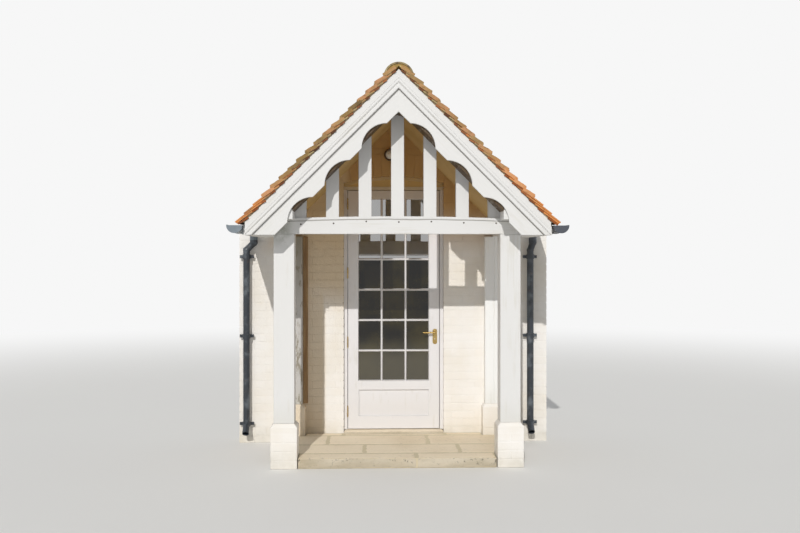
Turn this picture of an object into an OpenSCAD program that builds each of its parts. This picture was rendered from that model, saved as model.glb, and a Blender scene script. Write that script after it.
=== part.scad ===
// Timber entrance porch with a tiled gable roof, standing on brick piers against
// the piece of house wall that holds its glazed door. Millimetres, X to the right,
// Y into the house, Z up. The origin is at ground level under the middle of the
// doorway, on the outer face of the wall.

/* [Porch frame] */
// Distance between the centre lines of the left and right posts
post_spread = 1928; // [1700:1:2200]
// Outer face of the wall to the front faces of the posts
porch_depth = 1150; // [900:1:1500]
// Side of the square front posts
post_size = 175; // [140:1:200]
// Thickness of the posts that stand against the wall
wall_post_depth = 100; // [75:1:140]
// Width and depth of the groove up the middle of each wall post
post_groove = 6; // [3:1:12]
// Ground to the underside of the tie beam and side plates
beam_under = 1988; // [1900:1:2200]
// Thickness of the tie beam and of the side plates
beam_thickness = 100; // [80:1:120]
// Height of the side plates, and of the tie beam at its middle
beam_height = 148; // [130:1:170]
// How much lower the tie beam is at its ends
beam_camber = 23; // [5:1:40]

/* [Piers and floor] */
// Side of the square brick piers
pier_size = 225; // [205:1:260]
// Height of the straight part of a pier
pier_height = 350; // [250:1:450]
// Height of the sloping cap of a pier
pier_cap = 30; // [15:1:60]
// Height of the stone landing
landing_height = 88; // [60:1:120]
// Height of the door sill stone
sill_height = 112; // [100:1:150]
// How far the sill stone stands out from the wall
sill_nose = 60; // [20:1:100]

/* [Gable struts] */
// Number of upright struts in the gable
strut_count = 7; // [3:2:7]
// Distance between the centres of neighbouring struts
strut_pitch = 277; // [200:1:290]
// Width of a strut
strut_width = 110; // [60:1:125]
// Thickness of a strut
strut_thickness = 70; // [40:1:80]

/* [Roof] */
// Slope of the roof in degrees
roof_pitch = 45; // [43:1:47]
// Depth of a rafter, square to the slope
rafter_depth = 160; // [130:1:175]
// Depth of the notch where a rafter sits over a plate
rafter_notch = 78; // [60:1:90]
// Thickness of a common rafter
rafter_thickness = 50; // [40:1:70]
// Number of common rafters on each slope
rafter_count = 3; // [2:1:4]
// Thickness of the rafters behind the bargeboards
barge_rafter_thickness = 70; // [40:1:90]
// How far the back of these rafters stands in front of the tie beam
gable_reach = 160; // [100:1:220]
// Thickness of the sloping ceiling boards
lining_thickness = 20; // [12:1:25]
// Thickness of the ridge board
ridge_board_thickness = 30; // [20:1:40]
// Outer face of a side plate to the ends of the rafters
eaves_reach = 205; // [190:1:250]
// Thickness of the fascia board
fascia_thickness = 20; // [15:1:25]
// Thickness of the soffit board
soffit_thickness = 12; // [9:1:18]
// Underside of the rafter ends above the underside of the plates
soffit_rise = 4; // [0:1:30]
// Thickness of the roof covering, square to the slope
tile_build = 62; // [50:1:75]
// Visible length of one course of tiles
tile_gauge = 100; // [80:1:120]
// How far the tail of a tile stands above the course under it
tile_lift = 15; // [8:1:20]
// Thickness of one tile
tile_thickness = 12; // [9:1:15]
// How far the tiles reach past the fascia, along the slope
tile_overhang = 28; // [15:1:45]
// How far the tiles reach in front of the bargeboards
verge_overhang = 50; // [35:1:80]

/* [Ridge] */
// Width of a ridge tile
ridge_width = 240; // [220:1:260]
// Height of a ridge tile
ridge_height = 89; // [80:1:100]
// Thickness of a ridge tile
ridge_thickness = 15; // [10:1:18]
// Number of ridge tiles
ridge_count = 3; // [2:1:4]
// Mortar joint between two ridge tiles
ridge_joint = 6; // [3:1:12]
// How far a ridge tile reaches over the highest tiles on each side
ridge_lap = 35; // [20:1:50]

/* [Bargeboards] */
// Thickness of a bargeboard
barge_thickness = 30; // [20:1:40]
// Depth of a bargeboard, square to the slope
barge_depth = 242; // [230:1:280]
// Radius of the round lobes cut in its lower edge
lobe_radius = 208; // [190:1:225]
// Straight stretch between the apex and the first lobe
lobe_start = 137; // [100:1:160]
// Straight stretch between two lobes
lobe_flat = 137; // [100:1:150]
// Number of lobes in a bargeboard
lobe_count = 3; // [2:1:3]
// Underside of the plates down to the level foot of a bargeboard
barge_drop = 13; // [5:1:30]
// Height of the planted moulding, square to the slope
moulding_height = 110; // [90:1:130]
// Most that the moulding stands in front of its board
moulding_proud = 30; // [20:1:35]

/* [Rainwater goods] */
// Outer radius of the half round gutter
gutter_radius = 62; // [55:1:65]
// Metal thickness of the gutter and pipes
gutter_wall = 3; // [2:0.5:5]
// Clearance between the gutter's stop ends and the fascia
gutter_gap = 1; // [0.5:0.5:5]
// Upper edge of the fascia down to the rim of the gutter
gutter_drop = 6; // [2:1:20]
// Number of gutter brackets on each side
bracket_count = 3; // [2:1:4]
// Outer radius of the downpipe
pipe_radius = 32; // [28:1:36]
// Centre of the downpipe to the wall
pipe_stand_off = 72; // [60:1:90]
// How far the left downpipe steps to the left of its outlet
pipe_shift_left = 70; // [0:1:75]
// How far the right downpipe steps to the left of its outlet
pipe_shift_right = 24; // [0:1:75]

/* [Wall and doorway] */
// How far the wall piece reaches past the middle of the gutters
wall_reach = 147.5; // [140:0.5:300]
// Thickness of the wall
wall_thickness = 240; // [215:1:330]
// Width of the doorway
opening_width = 970; // [900:1:1050]
// Top of the door leaf's opening up to the springing of the arch
head_height = 67; // [50:1:110]
// Rise of the door arch
arch_rise = 65; // [40:1:90]
// How far the wall rises above the roof, square to the slope
wall_above_roof = 100; // [85:1:150]
// Height of the lead against the wall, square to the slope
lead_upstand = 75; // [50:1:80]
// How far the lead reaches over the tiles
lead_apron = 130; // [80:1:180]
// Thickness of the lead
lead_thickness = 5; // [3:1:6]

/* [Door] */
// Outer face of the wall to the outer face of the door
door_set_back = 47; // [42:1:60]
// Depth of the door frame
frame_depth = 95; // [90:1:110]
// Width of the frame on each side of the door
frame_face = 35; // [30:1:45]
// Clearance around the door leaf
leaf_gap = 6; // [5.5:0.5:8]
// Clearance between the door leaf and the sill
sill_gap = 7; // [5.5:0.5:10]
// Height of the door leaf
leaf_height = 2318; // [2300:1:2325]
// Thickness of the door leaf
leaf_thickness = 54; // [44:1:58]
// Width of the strip that the closed door meets
stop_width = 12; // [8:1:18]
// Width of a door stile
stile_width = 105; // [90:1:125]
// Height of the top rail of the door
top_rail = 86; // [75:1:110]
// Height of the middle rail of the door
middle_rail = 94; // [80:1:120]
// Height of the bottom rail of the door
bottom_rail = 121; // [100:1:150]
// Height of the wooden panel of the door
panel_height = 257; // [200:1:300]
// Thickness of the panel at its edges
panel_edge = 16; // [12:1:20]
// Thickness of the panel at its raised field
panel_field = 32; // [24:1:40]
// Width of the sloping border round the field
panel_border = 60; // [40:1:70]
// Panes across
pane_columns = 3; // [2:1:4]
// Panes up
pane_rows = 6; // [4:1:7]
// Width of a glazing bar
bar_width = 22; // [20:1:32]
// Depth of a glazing bar
bar_depth = 40; // [30:1:44]
// Width of a glazing bar at its two faces, where the splays end
bar_nose = 8; // [4:1:14]
// Half of the straight part of a glazing bar, over the edge of the glass
glass_rebate = 5; // [4:1:8]
// Thickness of the glass
glass_thickness = 4; // [3:1:6]

/* [Door furniture] */
// Number of hinges
hinge_count = 4; // [3:1:4]
// Height of a hinge
hinge_height = 100; // [75:1:110]
// Radius of a hinge knuckle
knuckle_radius = 6; // [5:0.5:8]
// Radius of a hinge pin
pin_radius = 2.6; // [2:0.2:3]
// Thickness of a hinge flap
flap_thickness = 2.5; // [1.5:0.1:2.5]
// Centre of the handle to the edge of the leaf
handle_inset = 42; // [38:1:50]
// Ground to the centre of the handle plates
plate_level = 1015; // [950:1:1100]
// Height of a handle plate
plate_height = 150; // [140:1:220]
// Width of a handle plate
plate_width = 44; // [34:1:48]
// Thickness of a handle plate
plate_thickness = 4; // [3:1:6]
// Centre of the handle plate up to the lever
lever_rise = 40; // [30:1:45]
// Length of a lever
lever_length = 110; // [90:1:130]
// Radius of the round lever arm
lever_radius = 8; // [6:0.5:9]
// Door face to the centre line of a lever
lever_stand = 48; // [40:1:60]

/* [Wall light] */
// Place of the light between the crown of the arch, 0, and the peak of the ceiling, 1
light_share = 0.385; // [0.3:0.005:0.6]
// Middle of the doorway to the centre of the light
light_shift = -36; // [-60:1:60]
// Outer radius of the metal ring of the light
light_radius = 59; // [45:1:80]
// How far the light stands out from the wall
light_depth = 45; // [30:1:60]

/* [Hidden] */
$fn = 48;
arc_fn = 240;
far = 5000;

paint_white = "#e9e8e6";
wall_cream = "#f3eee6";
stone_buff = "#cdbea5";
tile_red = "#a4602f";
lead_grey = "#7d8288";
iron_black = "#22262b";
brass = "#b08d4a";
glass_tint = "#9fb2b5";

// Clearance where the sawn end of a strut seats on the rafters
seat_gap = 0.3;

post_x = post_spread / 2;
plate_outer_x = post_x + post_size / 2;
plate_inner_x = plate_outer_x - beam_thickness;
front_y = -porch_depth;
beam_back_y = front_y + beam_thickness;
beam_top = beam_under + beam_height;
post_base = pier_height + pier_cap;
pier_front_y = front_y - (pier_size - post_size) / 2;
rafter_end_x = plate_outer_x + eaves_reach;
fascia_outer_x = rafter_end_x + fascia_thickness;
rafter_foot_z = beam_under + soffit_rise;
barge_foot_z = beam_under - barge_drop;
barge_rafter_back_y = front_y - gable_reach;
barge_back_y = barge_rafter_back_y - barge_rafter_thickness;
barge_face_y = barge_back_y - barge_thickness;
verge_y = barge_face_y - verge_overhang;

// The upper edges of the rafters meet at this height over the middle
roof_z = beam_top + plate_outer_x * tan(roof_pitch) + rafter_depth / cos(roof_pitch) - rafter_notch;
lining_z = roof_z - rafter_depth / cos(roof_pitch);

tile_u = fascia_outer_x / cos(roof_pitch) + tile_overhang;
course_count = ceil(tile_u / tile_gauge);
ridge_radius = (pow(ridge_width / 2, 2) + pow(ridge_height, 2)) / (2 * ridge_height);
ridge_edge_z = roof_z + tile_build / cos(roof_pitch) - ridge_width / 2 * tan(roof_pitch);
ridge_centre_z = ridge_edge_z + ridge_height - ridge_radius;
ridge_inner = ridge_radius - ridge_thickness;
bed_x = ridge_width / 2 - ridge_lap;
tile_cut_z = roof_z + tile_build / cos(roof_pitch) - bed_x * tan(roof_pitch);

lobe_half = lobe_radius * sin(45);
lobe_pitch = 2 * lobe_half + lobe_flat;

gutter_x = fascia_outer_x + gutter_radius + gutter_wall + gutter_gap;
gutter_rim_z = roof_z - fascia_outer_x * tan(roof_pitch) - gutter_drop;
gutter_front_y = verge_y + 12;
gutter_back_y = -6;
outlet_length = 40;
outlet_bottom_z = gutter_rim_z - gutter_radius - outlet_length;
bend_radius = pipe_radius + gutter_wall;

wall_half_width = gutter_x + wall_reach;
wall_top_z = roof_z + (tile_build + wall_above_roof) / cos(roof_pitch);
opening_half = opening_width / 2;

jamb_x = opening_half - frame_face;
leaf_x = jamb_x - leaf_gap;
leaf_bottom = sill_height + sill_gap;
leaf_top = leaf_bottom + leaf_height;
head_under = leaf_top + leaf_gap;
leaf_back = door_set_back + leaf_thickness;
leaf_middle = door_set_back + leaf_thickness / 2;
stop_front = leaf_back + leaf_gap;
frame_back = door_set_back + frame_depth;
arch_spring = head_under + head_height;
arch_radius = (pow(opening_half, 2) + pow(arch_rise, 2)) / (2 * arch_rise);
arch_centre_z = arch_spring + arch_rise - arch_radius;
glass_x = leaf_x - stile_width;
glass_top = leaf_top - top_rail;
panel_bottom = leaf_bottom + bottom_rail;
panel_top = panel_bottom + panel_height;
glass_bottom = panel_top + middle_rail;
pane_width = (2 * glass_x - (pane_columns - 1) * bar_width) / pane_columns;
pane_height = (glass_top - glass_bottom - (pane_rows - 1) * bar_width) / pane_rows;

pin_clearance = 0.4;
hinge_x = -jamb_x + leaf_gap / 2;
hinge_y = door_set_back - knuckle_radius - pin_clearance;
hinge_low = leaf_bottom + 170;
hinge_high = leaf_top - 130;
hinge_step = (hinge_high - hinge_low) / (hinge_count - 1);
knuckle_count = 5;
knuckle_height = hinge_height / knuckle_count;
flap_front = door_set_back + 1;
flap_back = leaf_back - 6;

handle_x = leaf_x - handle_inset;
lever_z = plate_level + lever_rise;
keyhole_z = plate_level - lever_rise / 2;
spindle_radius = lever_radius + 1;

arch_crown = arch_spring + arch_rise;
light_level = arch_crown + light_share * (lining_z - arch_crown);
light_rim = 14;
light_seat = 0.3 * light_depth;

// Shapes drawn in X and Z, given thickness between two planes of Y
module upright(y_front, y_back) {
    translate([0, y_back, 0]) rotate([90, 0, 0]) linear_extrude(y_back - y_front) children();
}

// Flat shapes moved to the slope: X runs down the right slope, Y stands square to it
module on_slope() {
    translate([0, roof_z]) rotate(-roof_pitch) children();
}

// Solids moved to the slope in the same way, with Z square to it
module on_slope_3d() {
    translate([0, 0, roof_z]) rotate([0, roof_pitch, 0]) children();
}

module on_left() {
    mirror([1, 0, 0]) children();
}

// Everything under two slopes that meet over the middle
module gable_area(top_z) {
    drop = far * tan(roof_pitch);
    polygon([[-far, top_z - drop - far], [-far, top_z - drop], [0, top_z],
        [far, top_z - drop], [far, top_z - drop - far]]);
}

module layer_on_slope(low, high) {
    on_slope() translate([-far, low]) square([2 * far, high - low]);
}

module box(low, high) {
    translate(low) cube(high - low);
}

// Walls
module wall_outline() {
    intersection() {
        gable_area(wall_top_z);
        translate([-wall_half_width, 0]) square([2 * wall_half_width, far]);
    }
}

module wall_side() {
    color(wall_cream) upright(0, wall_thickness) intersection() {
        wall_outline();
        translate([opening_half, 0]) square([far, far]);
    }
}

module wall_left() {
    on_left() wall_side();
}

module wall_right() {
    wall_side();
}

module arch_circle() {
    translate([0, arch_centre_z]) circle(arch_radius, $fn = arc_fn);
}

module wall_over_door() {
    color(wall_cream) upright(0, wall_thickness) difference() {
        intersection() {
            wall_outline();
            translate([-opening_half, arch_spring]) square([opening_width, far]);
        }
        arch_circle();
    }
}

// Stone sill and landing
module door_sill() {
    nose_radius = 14;
    color(stone_buff) difference() {
        box([-opening_half, -sill_nose, 0], [opening_half, wall_thickness, sill_height]);
        difference() {
            box([-far, -sill_nose - 1, sill_height - nose_radius],
                [far, -sill_nose + nose_radius, sill_height + 1]);
            translate([-far, -sill_nose + nose_radius, sill_height - nose_radius])
                rotate([0, 90, 0]) cylinder(h = 2 * far, r = nose_radius);
        }
    }
}

module landing() {
    half = post_x + pier_size / 2;
    color(stone_buff) difference() {
        box([-half, pier_front_y, 0], [half, 0, landing_height]);
        for (side = [-1, 1]) {
            left = side * post_x - pier_size / 2;
            box([left, pier_front_y, -1], [left + pier_size, pier_front_y + pier_size, far]);
            box([left, -wall_pier_depth(), -1], [left + pier_size, 1, far]);
        }
        box([-opening_half, -sill_nose, -1], [opening_half, 1, far]);
    }
}

function wall_pier_depth() = wall_post_depth + (pier_size - post_size) / 2;

// A pier with a sloping cap that ends in the size of its post
module pier(low, high, post_low, post_high) {
    color(wall_cream) intersection() {
        upright(low[1], high[1]) polygon([[low[0], 0], [high[0], 0], [high[0], pier_height],
            [post_high[0], post_base], [post_low[0], post_base], [low[0], pier_height]]);
        translate([low[0], 0, 0]) rotate([90, 0, 90]) linear_extrude(high[0] - low[0])
            polygon([[low[1], 0], [high[1], 0], [high[1], pier_height],
                [post_high[1], post_base], [post_low[1], post_base], [low[1], pier_height]]);
    }
}

module pier_front() {
    half = pier_size / 2;
    pier([post_x - half, pier_front_y], [post_x + half, pier_front_y + pier_size],
        [post_x - post_size / 2, front_y], [post_x + post_size / 2, front_y + post_size]);
}

module pier_back() {
    half = pier_size / 2;
    pier([post_x - half, -wall_pier_depth()], [post_x + half, 0],
        [post_x - post_size / 2, -wall_post_depth], [post_x + post_size / 2, 0]);
}

module pier_front_left() {
    on_left() pier_front();
}

module pier_front_right() {
    pier_front();
}

module pier_back_left() {
    on_left() pier_back();
}

module pier_back_right() {
    pier_back();
}

// Posts
module post(y_front, y_back) {
    color(paint_white)
        box([post_x - post_size / 2, y_front, post_base], [plate_outer_x, y_back, beam_under]);
}

module post_front_left() {
    on_left() post(front_y, front_y + post_size);
}

module post_front_right() {
    post(front_y, front_y + post_size);
}

module wall_post() {
    color(paint_white) difference() {
        post(-wall_post_depth, 0);
        box([post_x - post_groove / 2, -far, post_base - 1],
            [post_x + post_groove / 2, post_groove - wall_post_depth, far]);
    }
}

module post_back_left() {
    on_left() wall_post();
}

module post_back_right() {
    wall_post();
}

// Tie beam with a top that curves down a little to both ends
module beam_outline() {
    steps = 12;
    half = plate_outer_x;
    top = [for (i = [steps:-1:-steps]) [half * i / steps, beam_top - beam_camber * pow(i / steps, 2)]];
    polygon(concat([[-half, beam_under], [half, beam_under]], top));
}

module tie_beam() {
    color(paint_white) upright(front_y, beam_back_y) beam_outline();
}

module plate() {
    color(paint_white)
        box([plate_inner_x, beam_back_y, beam_under], [plate_outer_x, 0, beam_top]);
}

module plate_left() {
    on_left() plate();
}

module plate_right() {
    plate();
}

module gable_struts() {
    middle_y = front_y + beam_thickness / 2;
    color(paint_white) upright(middle_y - strut_thickness / 2, middle_y + strut_thickness / 2)
        difference() {
            intersection() {
                gable_area(lining_z - seat_gap);
                for (i = [0:strut_count - 1])
                    translate([(i - (strut_count - 1) / 2) * strut_pitch - strut_width / 2, beam_under])
                        square([strut_width, far]);
            }
            beam_outline();
        }
}

// Roof timbers
module ridge_board() {
    half = ridge_board_thickness / 2;
    color(paint_white) upright(barge_back_y, 0) intersection() {
        gable_area(roof_z);
        translate([-half, lining_z]) square([2 * half, far]);
    }
}

module rafter_outline() {
    half = ridge_board_thickness / 2;
    intersection() {
        layer_on_slope(-rafter_depth, 0);
        translate([half, rafter_foot_z]) square([rafter_end_x - half, far]);
    }
}

module rafters() {
    color(paint_white) upright(front_y, beam_back_y) difference() {
        rafter_outline();
        beam_outline();
    }
    run = -beam_back_y - rafter_thickness;
    for (i = [1:rafter_count]) {
        back = beam_back_y + rafter_thickness + run * i / rafter_count;
        color(paint_white) upright(back - rafter_thickness, back) difference() {
            rafter_outline();
            square([plate_outer_x, beam_top]);
        }
    }
}

module rafters_left() {
    on_left() rafters();
}

module rafters_right() {
    rafters();
}

// The rafter behind a bargeboard, with the boards that close the overhang from below
module barge_rafter() {
    color(paint_white) {
        upright(barge_back_y, barge_rafter_back_y) rafter_outline();
        upright(barge_back_y, front_y) intersection() {
            rafter_outline();
            layer_on_slope(-rafter_depth, lining_thickness - rafter_depth);
        }
    }
}

module barge_rafter_left() {
    on_left() barge_rafter();
}

module barge_rafter_right() {
    barge_rafter();
}

module ceiling_side() {
    color(wall_cream) upright(beam_back_y, 0) intersection() {
        layer_on_slope(-rafter_depth - lining_thickness, -rafter_depth);
        translate([0, beam_top]) square([far, far]);
    }
}

module ceiling_left() {
    on_left() ceiling_side();
}

module ceiling_right() {
    ceiling_side();
}

// Roof covering: every course of tiles lies a little flatter than the slope
module tile_outline() {
    fascia_u = fascia_outer_x / cos(roof_pitch);
    under = tile_build - 2 * tile_thickness;
    courses = [for (i = [0:course_count]) for (end = [0, 1])
        [tile_u - (i + end) * tile_gauge, tile_build - end * tile_lift]];
    last_u = tile_u - (course_count + 1) * tile_gauge;
    intersection() {
        on_slope() polygon(concat([[last_u, 0], [fascia_u, 0], [fascia_u, under], [tile_u, under]],
            courses));
        square([far, tile_cut_z]);
    }
}

module tiles() {
    color(tile_red) upright(verge_y, 0) tile_outline();
}

module tiles_left() {
    on_left() tiles();
}

module tiles_right() {
    tiles();
}

module ridge_circle(radius) {
    translate([0, ridge_centre_z]) circle(radius, $fn = 96);
}

module ridge_outline() {
    difference() {
        ridge_circle(ridge_radius);
        ridge_circle(ridge_inner);
        gable_area(roof_z);
        tile_outline();
        mirror([1, 0]) tile_outline();
    }
}

module ridge_tiles() {
    tile_length = (-verge_y - (ridge_count - 1) * ridge_joint) / ridge_count;
    for (i = [0:ridge_count - 1]) {
        start = verge_y + i * (tile_length + ridge_joint);
        color(tile_red) upright(start, start + tile_length) ridge_outline();
    }
}

// Bargeboards with round lobes along the lower edge
module barge_area() {
    translate([0, barge_foot_z]) square([rafter_end_x, far]);
}

module bargeboard() {
    first_u = barge_depth * tan(roof_pitch) + lobe_start + lobe_half;
    color(paint_white) upright(barge_face_y, barge_back_y) intersection() {
        difference() {
            layer_on_slope(-barge_depth, 0);
            on_slope() for (i = [0:lobe_count - 1])
                translate([first_u + i * lobe_pitch, -barge_depth - lobe_half])
                    circle(lobe_radius, $fn = 96);
        }
        barge_area();
    }
}

module bargeboard_left() {
    on_left() bargeboard();
}

module bargeboard_right() {
    bargeboard();
}

// Section of the moulding: X is the distance in front of the board, Y is measured from its foot
module moulding_section() {
    fascia = 0.44 * moulding_height;
    bead = 0.075 * moulding_height;
    fillet = 0.03 * moulding_height;
    bead_y = moulding_height - fascia - fillet - bead;
    torus = (bead_y - bead - 2 * fillet) / 2;
    shelf = 0.65 * moulding_proud;
    bulge = 0.2 * moulding_proud;
    sweep = (pow(torus, 2) + pow(bulge, 2)) / (2 * bulge);
    translate([0, moulding_height - fascia]) square([moulding_proud, fascia]);
    square([shelf, moulding_height - fascia]);
    translate([shelf, bead_y]) circle(bead, $fn = 32);
    intersection() {
        translate([shelf + bulge - sweep, fillet + torus]) circle(sweep, $fn = 96);
        translate([0, fillet]) square([moulding_proud, 2 * torus]);
    }
}

module barge_moulding() {
    color(paint_white) intersection() {
        on_slope_3d() translate([-far, barge_face_y, -moulding_height])
            rotate([90, 0, 90]) linear_extrude(2 * far) mirror([1, 0]) moulding_section();
        upright(verge_y, 0) barge_area();
    }
}

module barge_moulding_left() {
    on_left() barge_moulding();
}

module barge_moulding_right() {
    barge_moulding();
}

// Fascia and soffit boards, joined along the eaves
module eaves_boards() {
    tongue = fascia_thickness / 2;
    color(paint_white) {
        upright(barge_back_y, 0) intersection() {
            gable_area(roof_z);
            translate([rafter_end_x, barge_foot_z]) square([fascia_thickness, far]);
        }
        box([plate_outer_x, barge_back_y, rafter_foot_z - soffit_thickness],
            [rafter_end_x + tongue, 0, rafter_foot_z]);
    }
}

module eaves_boards_left() {
    on_left() eaves_boards();
}

module eaves_boards_right() {
    eaves_boards();
}

// Half round gutter with stop ends, outlet and brackets
module half_ring(outer, inner) {
    translate([gutter_x, gutter_rim_z]) difference() {
        circle(outer, $fn = 64);
        if (inner > 0) circle(inner, $fn = 64);
        translate([-far, 0]) square([2 * far, far]);
    }
}

module gutter(outlet_x) {
    run = gutter_back_y - gutter_front_y;
    color(iron_black) difference() {
        union() {
            upright(gutter_front_y, gutter_back_y) half_ring(gutter_radius, gutter_radius - gutter_wall);
            for (y = [gutter_front_y, gutter_back_y - gutter_wall])
                upright(y, y + gutter_wall) half_ring(gutter_radius + gutter_wall, 0);
            upright(gutter_front_y, gutter_back_y)
                translate([gutter_x + gutter_radius - gutter_wall / 2, gutter_rim_z])
                    circle(1.5 * gutter_wall);
            translate([outlet_x, -pipe_stand_off, outlet_bottom_z])
                cylinder(h = gutter_rim_z - gutter_radius - outlet_bottom_z + 2 * gutter_wall,
                    r = pipe_radius + 2 * gutter_wall);
            for (i = [0:bracket_count - 1])
                bracket(gutter_front_y + run * (i + 0.5) / bracket_count);
        }
        translate([outlet_x, -pipe_stand_off, outlet_bottom_z - 1])
            cylinder(h = gutter_rim_z - outlet_bottom_z, r = pipe_radius);
    }
}

module bracket(y) {
    width = 24;
    plate_low = 70;
    upright(y - width / 2, y + width / 2) {
        half_ring(gutter_radius + gutter_wall, gutter_radius - 1);
        translate([fascia_outer_x, gutter_rim_z - plate_low])
            square([gutter_gap + gutter_wall, plate_low + gutter_drop / 2]);
    }
}

module gutter_left() {
    on_left() gutter(gutter_x);
}

module gutter_right() {
    gutter(gutter_x);
}

// Cast downpipe: swan neck, pipe with eared collars, and a shoe at the foot
module downpipe(side) {
    neck_top = outlet_bottom_z;
    neck_low = neck_top - 120;
    top_x = side * gutter_x;
    pipe_x = top_x - (side < 0 ? pipe_shift_left : pipe_shift_right);
    shoe_z = 190;
    shoe_turn = 45;
    shoe_length = 110;
    collar = pipe_radius + 2 * gutter_wall;
    color(iron_black) {
        difference() {
            union() {
                swan_neck(top_x, pipe_x, neck_top, neck_low);
                translate([top_x, -pipe_stand_off, neck_top - 30]) cylinder(h = 30, r = collar);
                translate([pipe_x, -pipe_stand_off, shoe_z])
                    cylinder(h = neck_low - shoe_z, r = pipe_radius);
                for (z = [neck_low - 60, (neck_low + shoe_z) / 2, shoe_z - 20])
                    translate([pipe_x, 0, z]) ear_collar(collar);
                translate([pipe_x, -pipe_stand_off, shoe_z]) sphere(bend_radius);
                translate([pipe_x, -pipe_stand_off, shoe_z]) rotate([180 - shoe_turn, 0, 0])
                    cylinder(h = shoe_length, r = pipe_radius);
            }
            translate([pipe_x, -pipe_stand_off, shoe_z]) rotate([180 - shoe_turn, 0, 0])
                translate([0, 0, shoe_length - 60])
                    cylinder(h = 70, r = pipe_radius - gutter_wall);
        }
    }
}

module swan_neck(top_x, low_x, top_z, low_z) {
    straight = 25;
    drop = top_z - low_z - 2 * straight;
    lean = atan((low_x - top_x) / drop);
    length = sqrt(pow(drop, 2) + pow(low_x - top_x, 2));
    translate([top_x, -pipe_stand_off, top_z - straight]) cylinder(h = straight, r = pipe_radius);
    translate([top_x, -pipe_stand_off, top_z - straight]) sphere(bend_radius);
    translate([top_x, -pipe_stand_off, top_z - straight]) rotate([180, -lean, 0])
        cylinder(h = length, r = pipe_radius);
    translate([low_x, -pipe_stand_off, low_z + straight]) sphere(bend_radius);
    translate([low_x, -pipe_stand_off, low_z - 1]) cylinder(h = straight, r = pipe_radius);
}

module ear_collar(radius) {
    height = 45;
    ear_reach = radius + 30;
    ear_thickness = 8;
    translate([0, -pipe_stand_off, 0]) cylinder(h = height, r = radius);
    ear_y = -pipe_stand_off + radius - 2 * ear_thickness;
    box([-ear_reach, ear_y, 8], [ear_reach, ear_y + ear_thickness, height - 8]);
    for (x = [-ear_reach + 12, ear_reach - 12])
        translate([x, ear_y, height / 2]) rotate([-90, 0, 0]) cylinder(h = -ear_y, r = 8);
}

module downpipe_left() {
    downpipe(-1);
}

module downpipe_right() {
    downpipe(1);
}

// Lead: an upstand on the wall and an apron over the tiles and the ridge
module lead_area(grow) {
    intersection() {
        union() {
            intersection() {
                gable_area(roof_z + (tile_build + grow) / cos(roof_pitch));
                translate([-far, 0]) square([2 * far, tile_cut_z + grow]);
            }
            ridge_circle(ridge_radius + grow);
        }
        half = tile_u * cos(roof_pitch);
        translate([-half, 0]) square([2 * half, far]);
    }
}

module roof_flashing() {
    color(lead_grey) {
        upright(-lead_thickness, 0) lead_band(lead_upstand);
        upright(-lead_apron, 0) lead_band(lead_thickness);
    }
}

module lead_band(width) {
    difference() {
        lead_area(width);
        lead_area(0);
    }
}

// Door frame
module frame_jamb() {
    color(paint_white) translate([0, 0, sill_height]) linear_extrude(head_under - sill_height)
        polygon([[opening_half, door_set_back], [opening_half, frame_back],
            [jamb_x - stop_width, frame_back], [jamb_x - stop_width, stop_front],
            [jamb_x, stop_front], [jamb_x, door_set_back]]);
}

module frame_jamb_left() {
    on_left() frame_jamb();
}

module frame_jamb_right() {
    frame_jamb();
}

module frame_head() {
    stop_x = jamb_x - stop_width;
    color(paint_white) {
        upright(door_set_back, frame_back) intersection() {
            translate([-opening_half, head_under]) square([opening_width, far]);
            arch_circle();
        }
        box([-stop_x, stop_front, head_under - stop_width], [stop_x, frame_back, head_under + 1]);
    }
}

// Round wall light
module light_ring() {
    bead = 8;
    color(iron_black) translate([light_shift, 0, light_level]) rotate([90, 0, 0])
        difference() {
            union() {
                cylinder(h = 2 * light_seat, r = light_radius);
                translate([0, 0, 2 * light_seat - 1]) rotate_extrude()
                    translate([light_radius - bead, 0]) circle(bead);
            }
            translate([0, 0, light_seat]) cylinder(h = far, r = light_radius - light_rim);
        }
}

module light_globe() {
    glass_radius = light_radius - light_rim;
    bulge = 0.55 * light_depth;
    ball = (pow(glass_radius, 2) + pow(bulge, 2)) / (2 * bulge);
    rim = 0.45 * light_depth;
    color("white") translate([light_shift, 0, light_level]) rotate([90, 0, 0]) rotate_extrude($fn = 64)
        intersection() {
            translate([0, light_seat]) square([glass_radius, light_depth]);
            union() {
                translate([0, rim + bulge - ball]) circle(ball, $fn = 96);
                square([glass_radius, rim]);
            }
        }
}

// Hinges: three knuckles of each belong to the frame, two to the door
module hinge_knuckles(first, bore) {
    for (k = [first:2:knuckle_count - 1]) {
        low = k * knuckle_height + pin_clearance / 2;
        difference() {
            translate([hinge_x, hinge_y, low])
                cylinder(h = knuckle_height - pin_clearance, r = knuckle_radius);
            if (bore > 0)
                translate([hinge_x, hinge_y, low - 1]) cylinder(h = knuckle_height + 2, r = bore);
        }
    }
}

module hinge_flap(first, x_low, x_high) {
    for (k = [first:2:knuckle_count - 1]) {
        low = k * knuckle_height + pin_clearance / 2;
        box([x_low, hinge_y + pin_radius + 1, low],
            [x_high, flap_front + 1, low + knuckle_height - pin_clearance]);
    }
    box([x_low, flap_front, 0], [x_high, flap_back, hinge_height]);
}

module at_hinges() {
    for (i = [0:hinge_count - 1])
        translate([0, 0, hinge_low + i * hinge_step - hinge_height / 2]) children();
}

module hinges_frame_side() {
    tip = 5;
    color(brass) at_hinges() {
        hinge_knuckles(0, 0);
        hinge_flap(0, -jamb_x, -jamb_x + flap_thickness);
        translate([hinge_x, hinge_y, -tip]) cylinder(h = hinge_height + 2 * tip, r = pin_radius);
        for (z = [-tip, hinge_height + tip])
            translate([hinge_x, hinge_y, z]) sphere(pin_radius + 1);
    }
}

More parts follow.
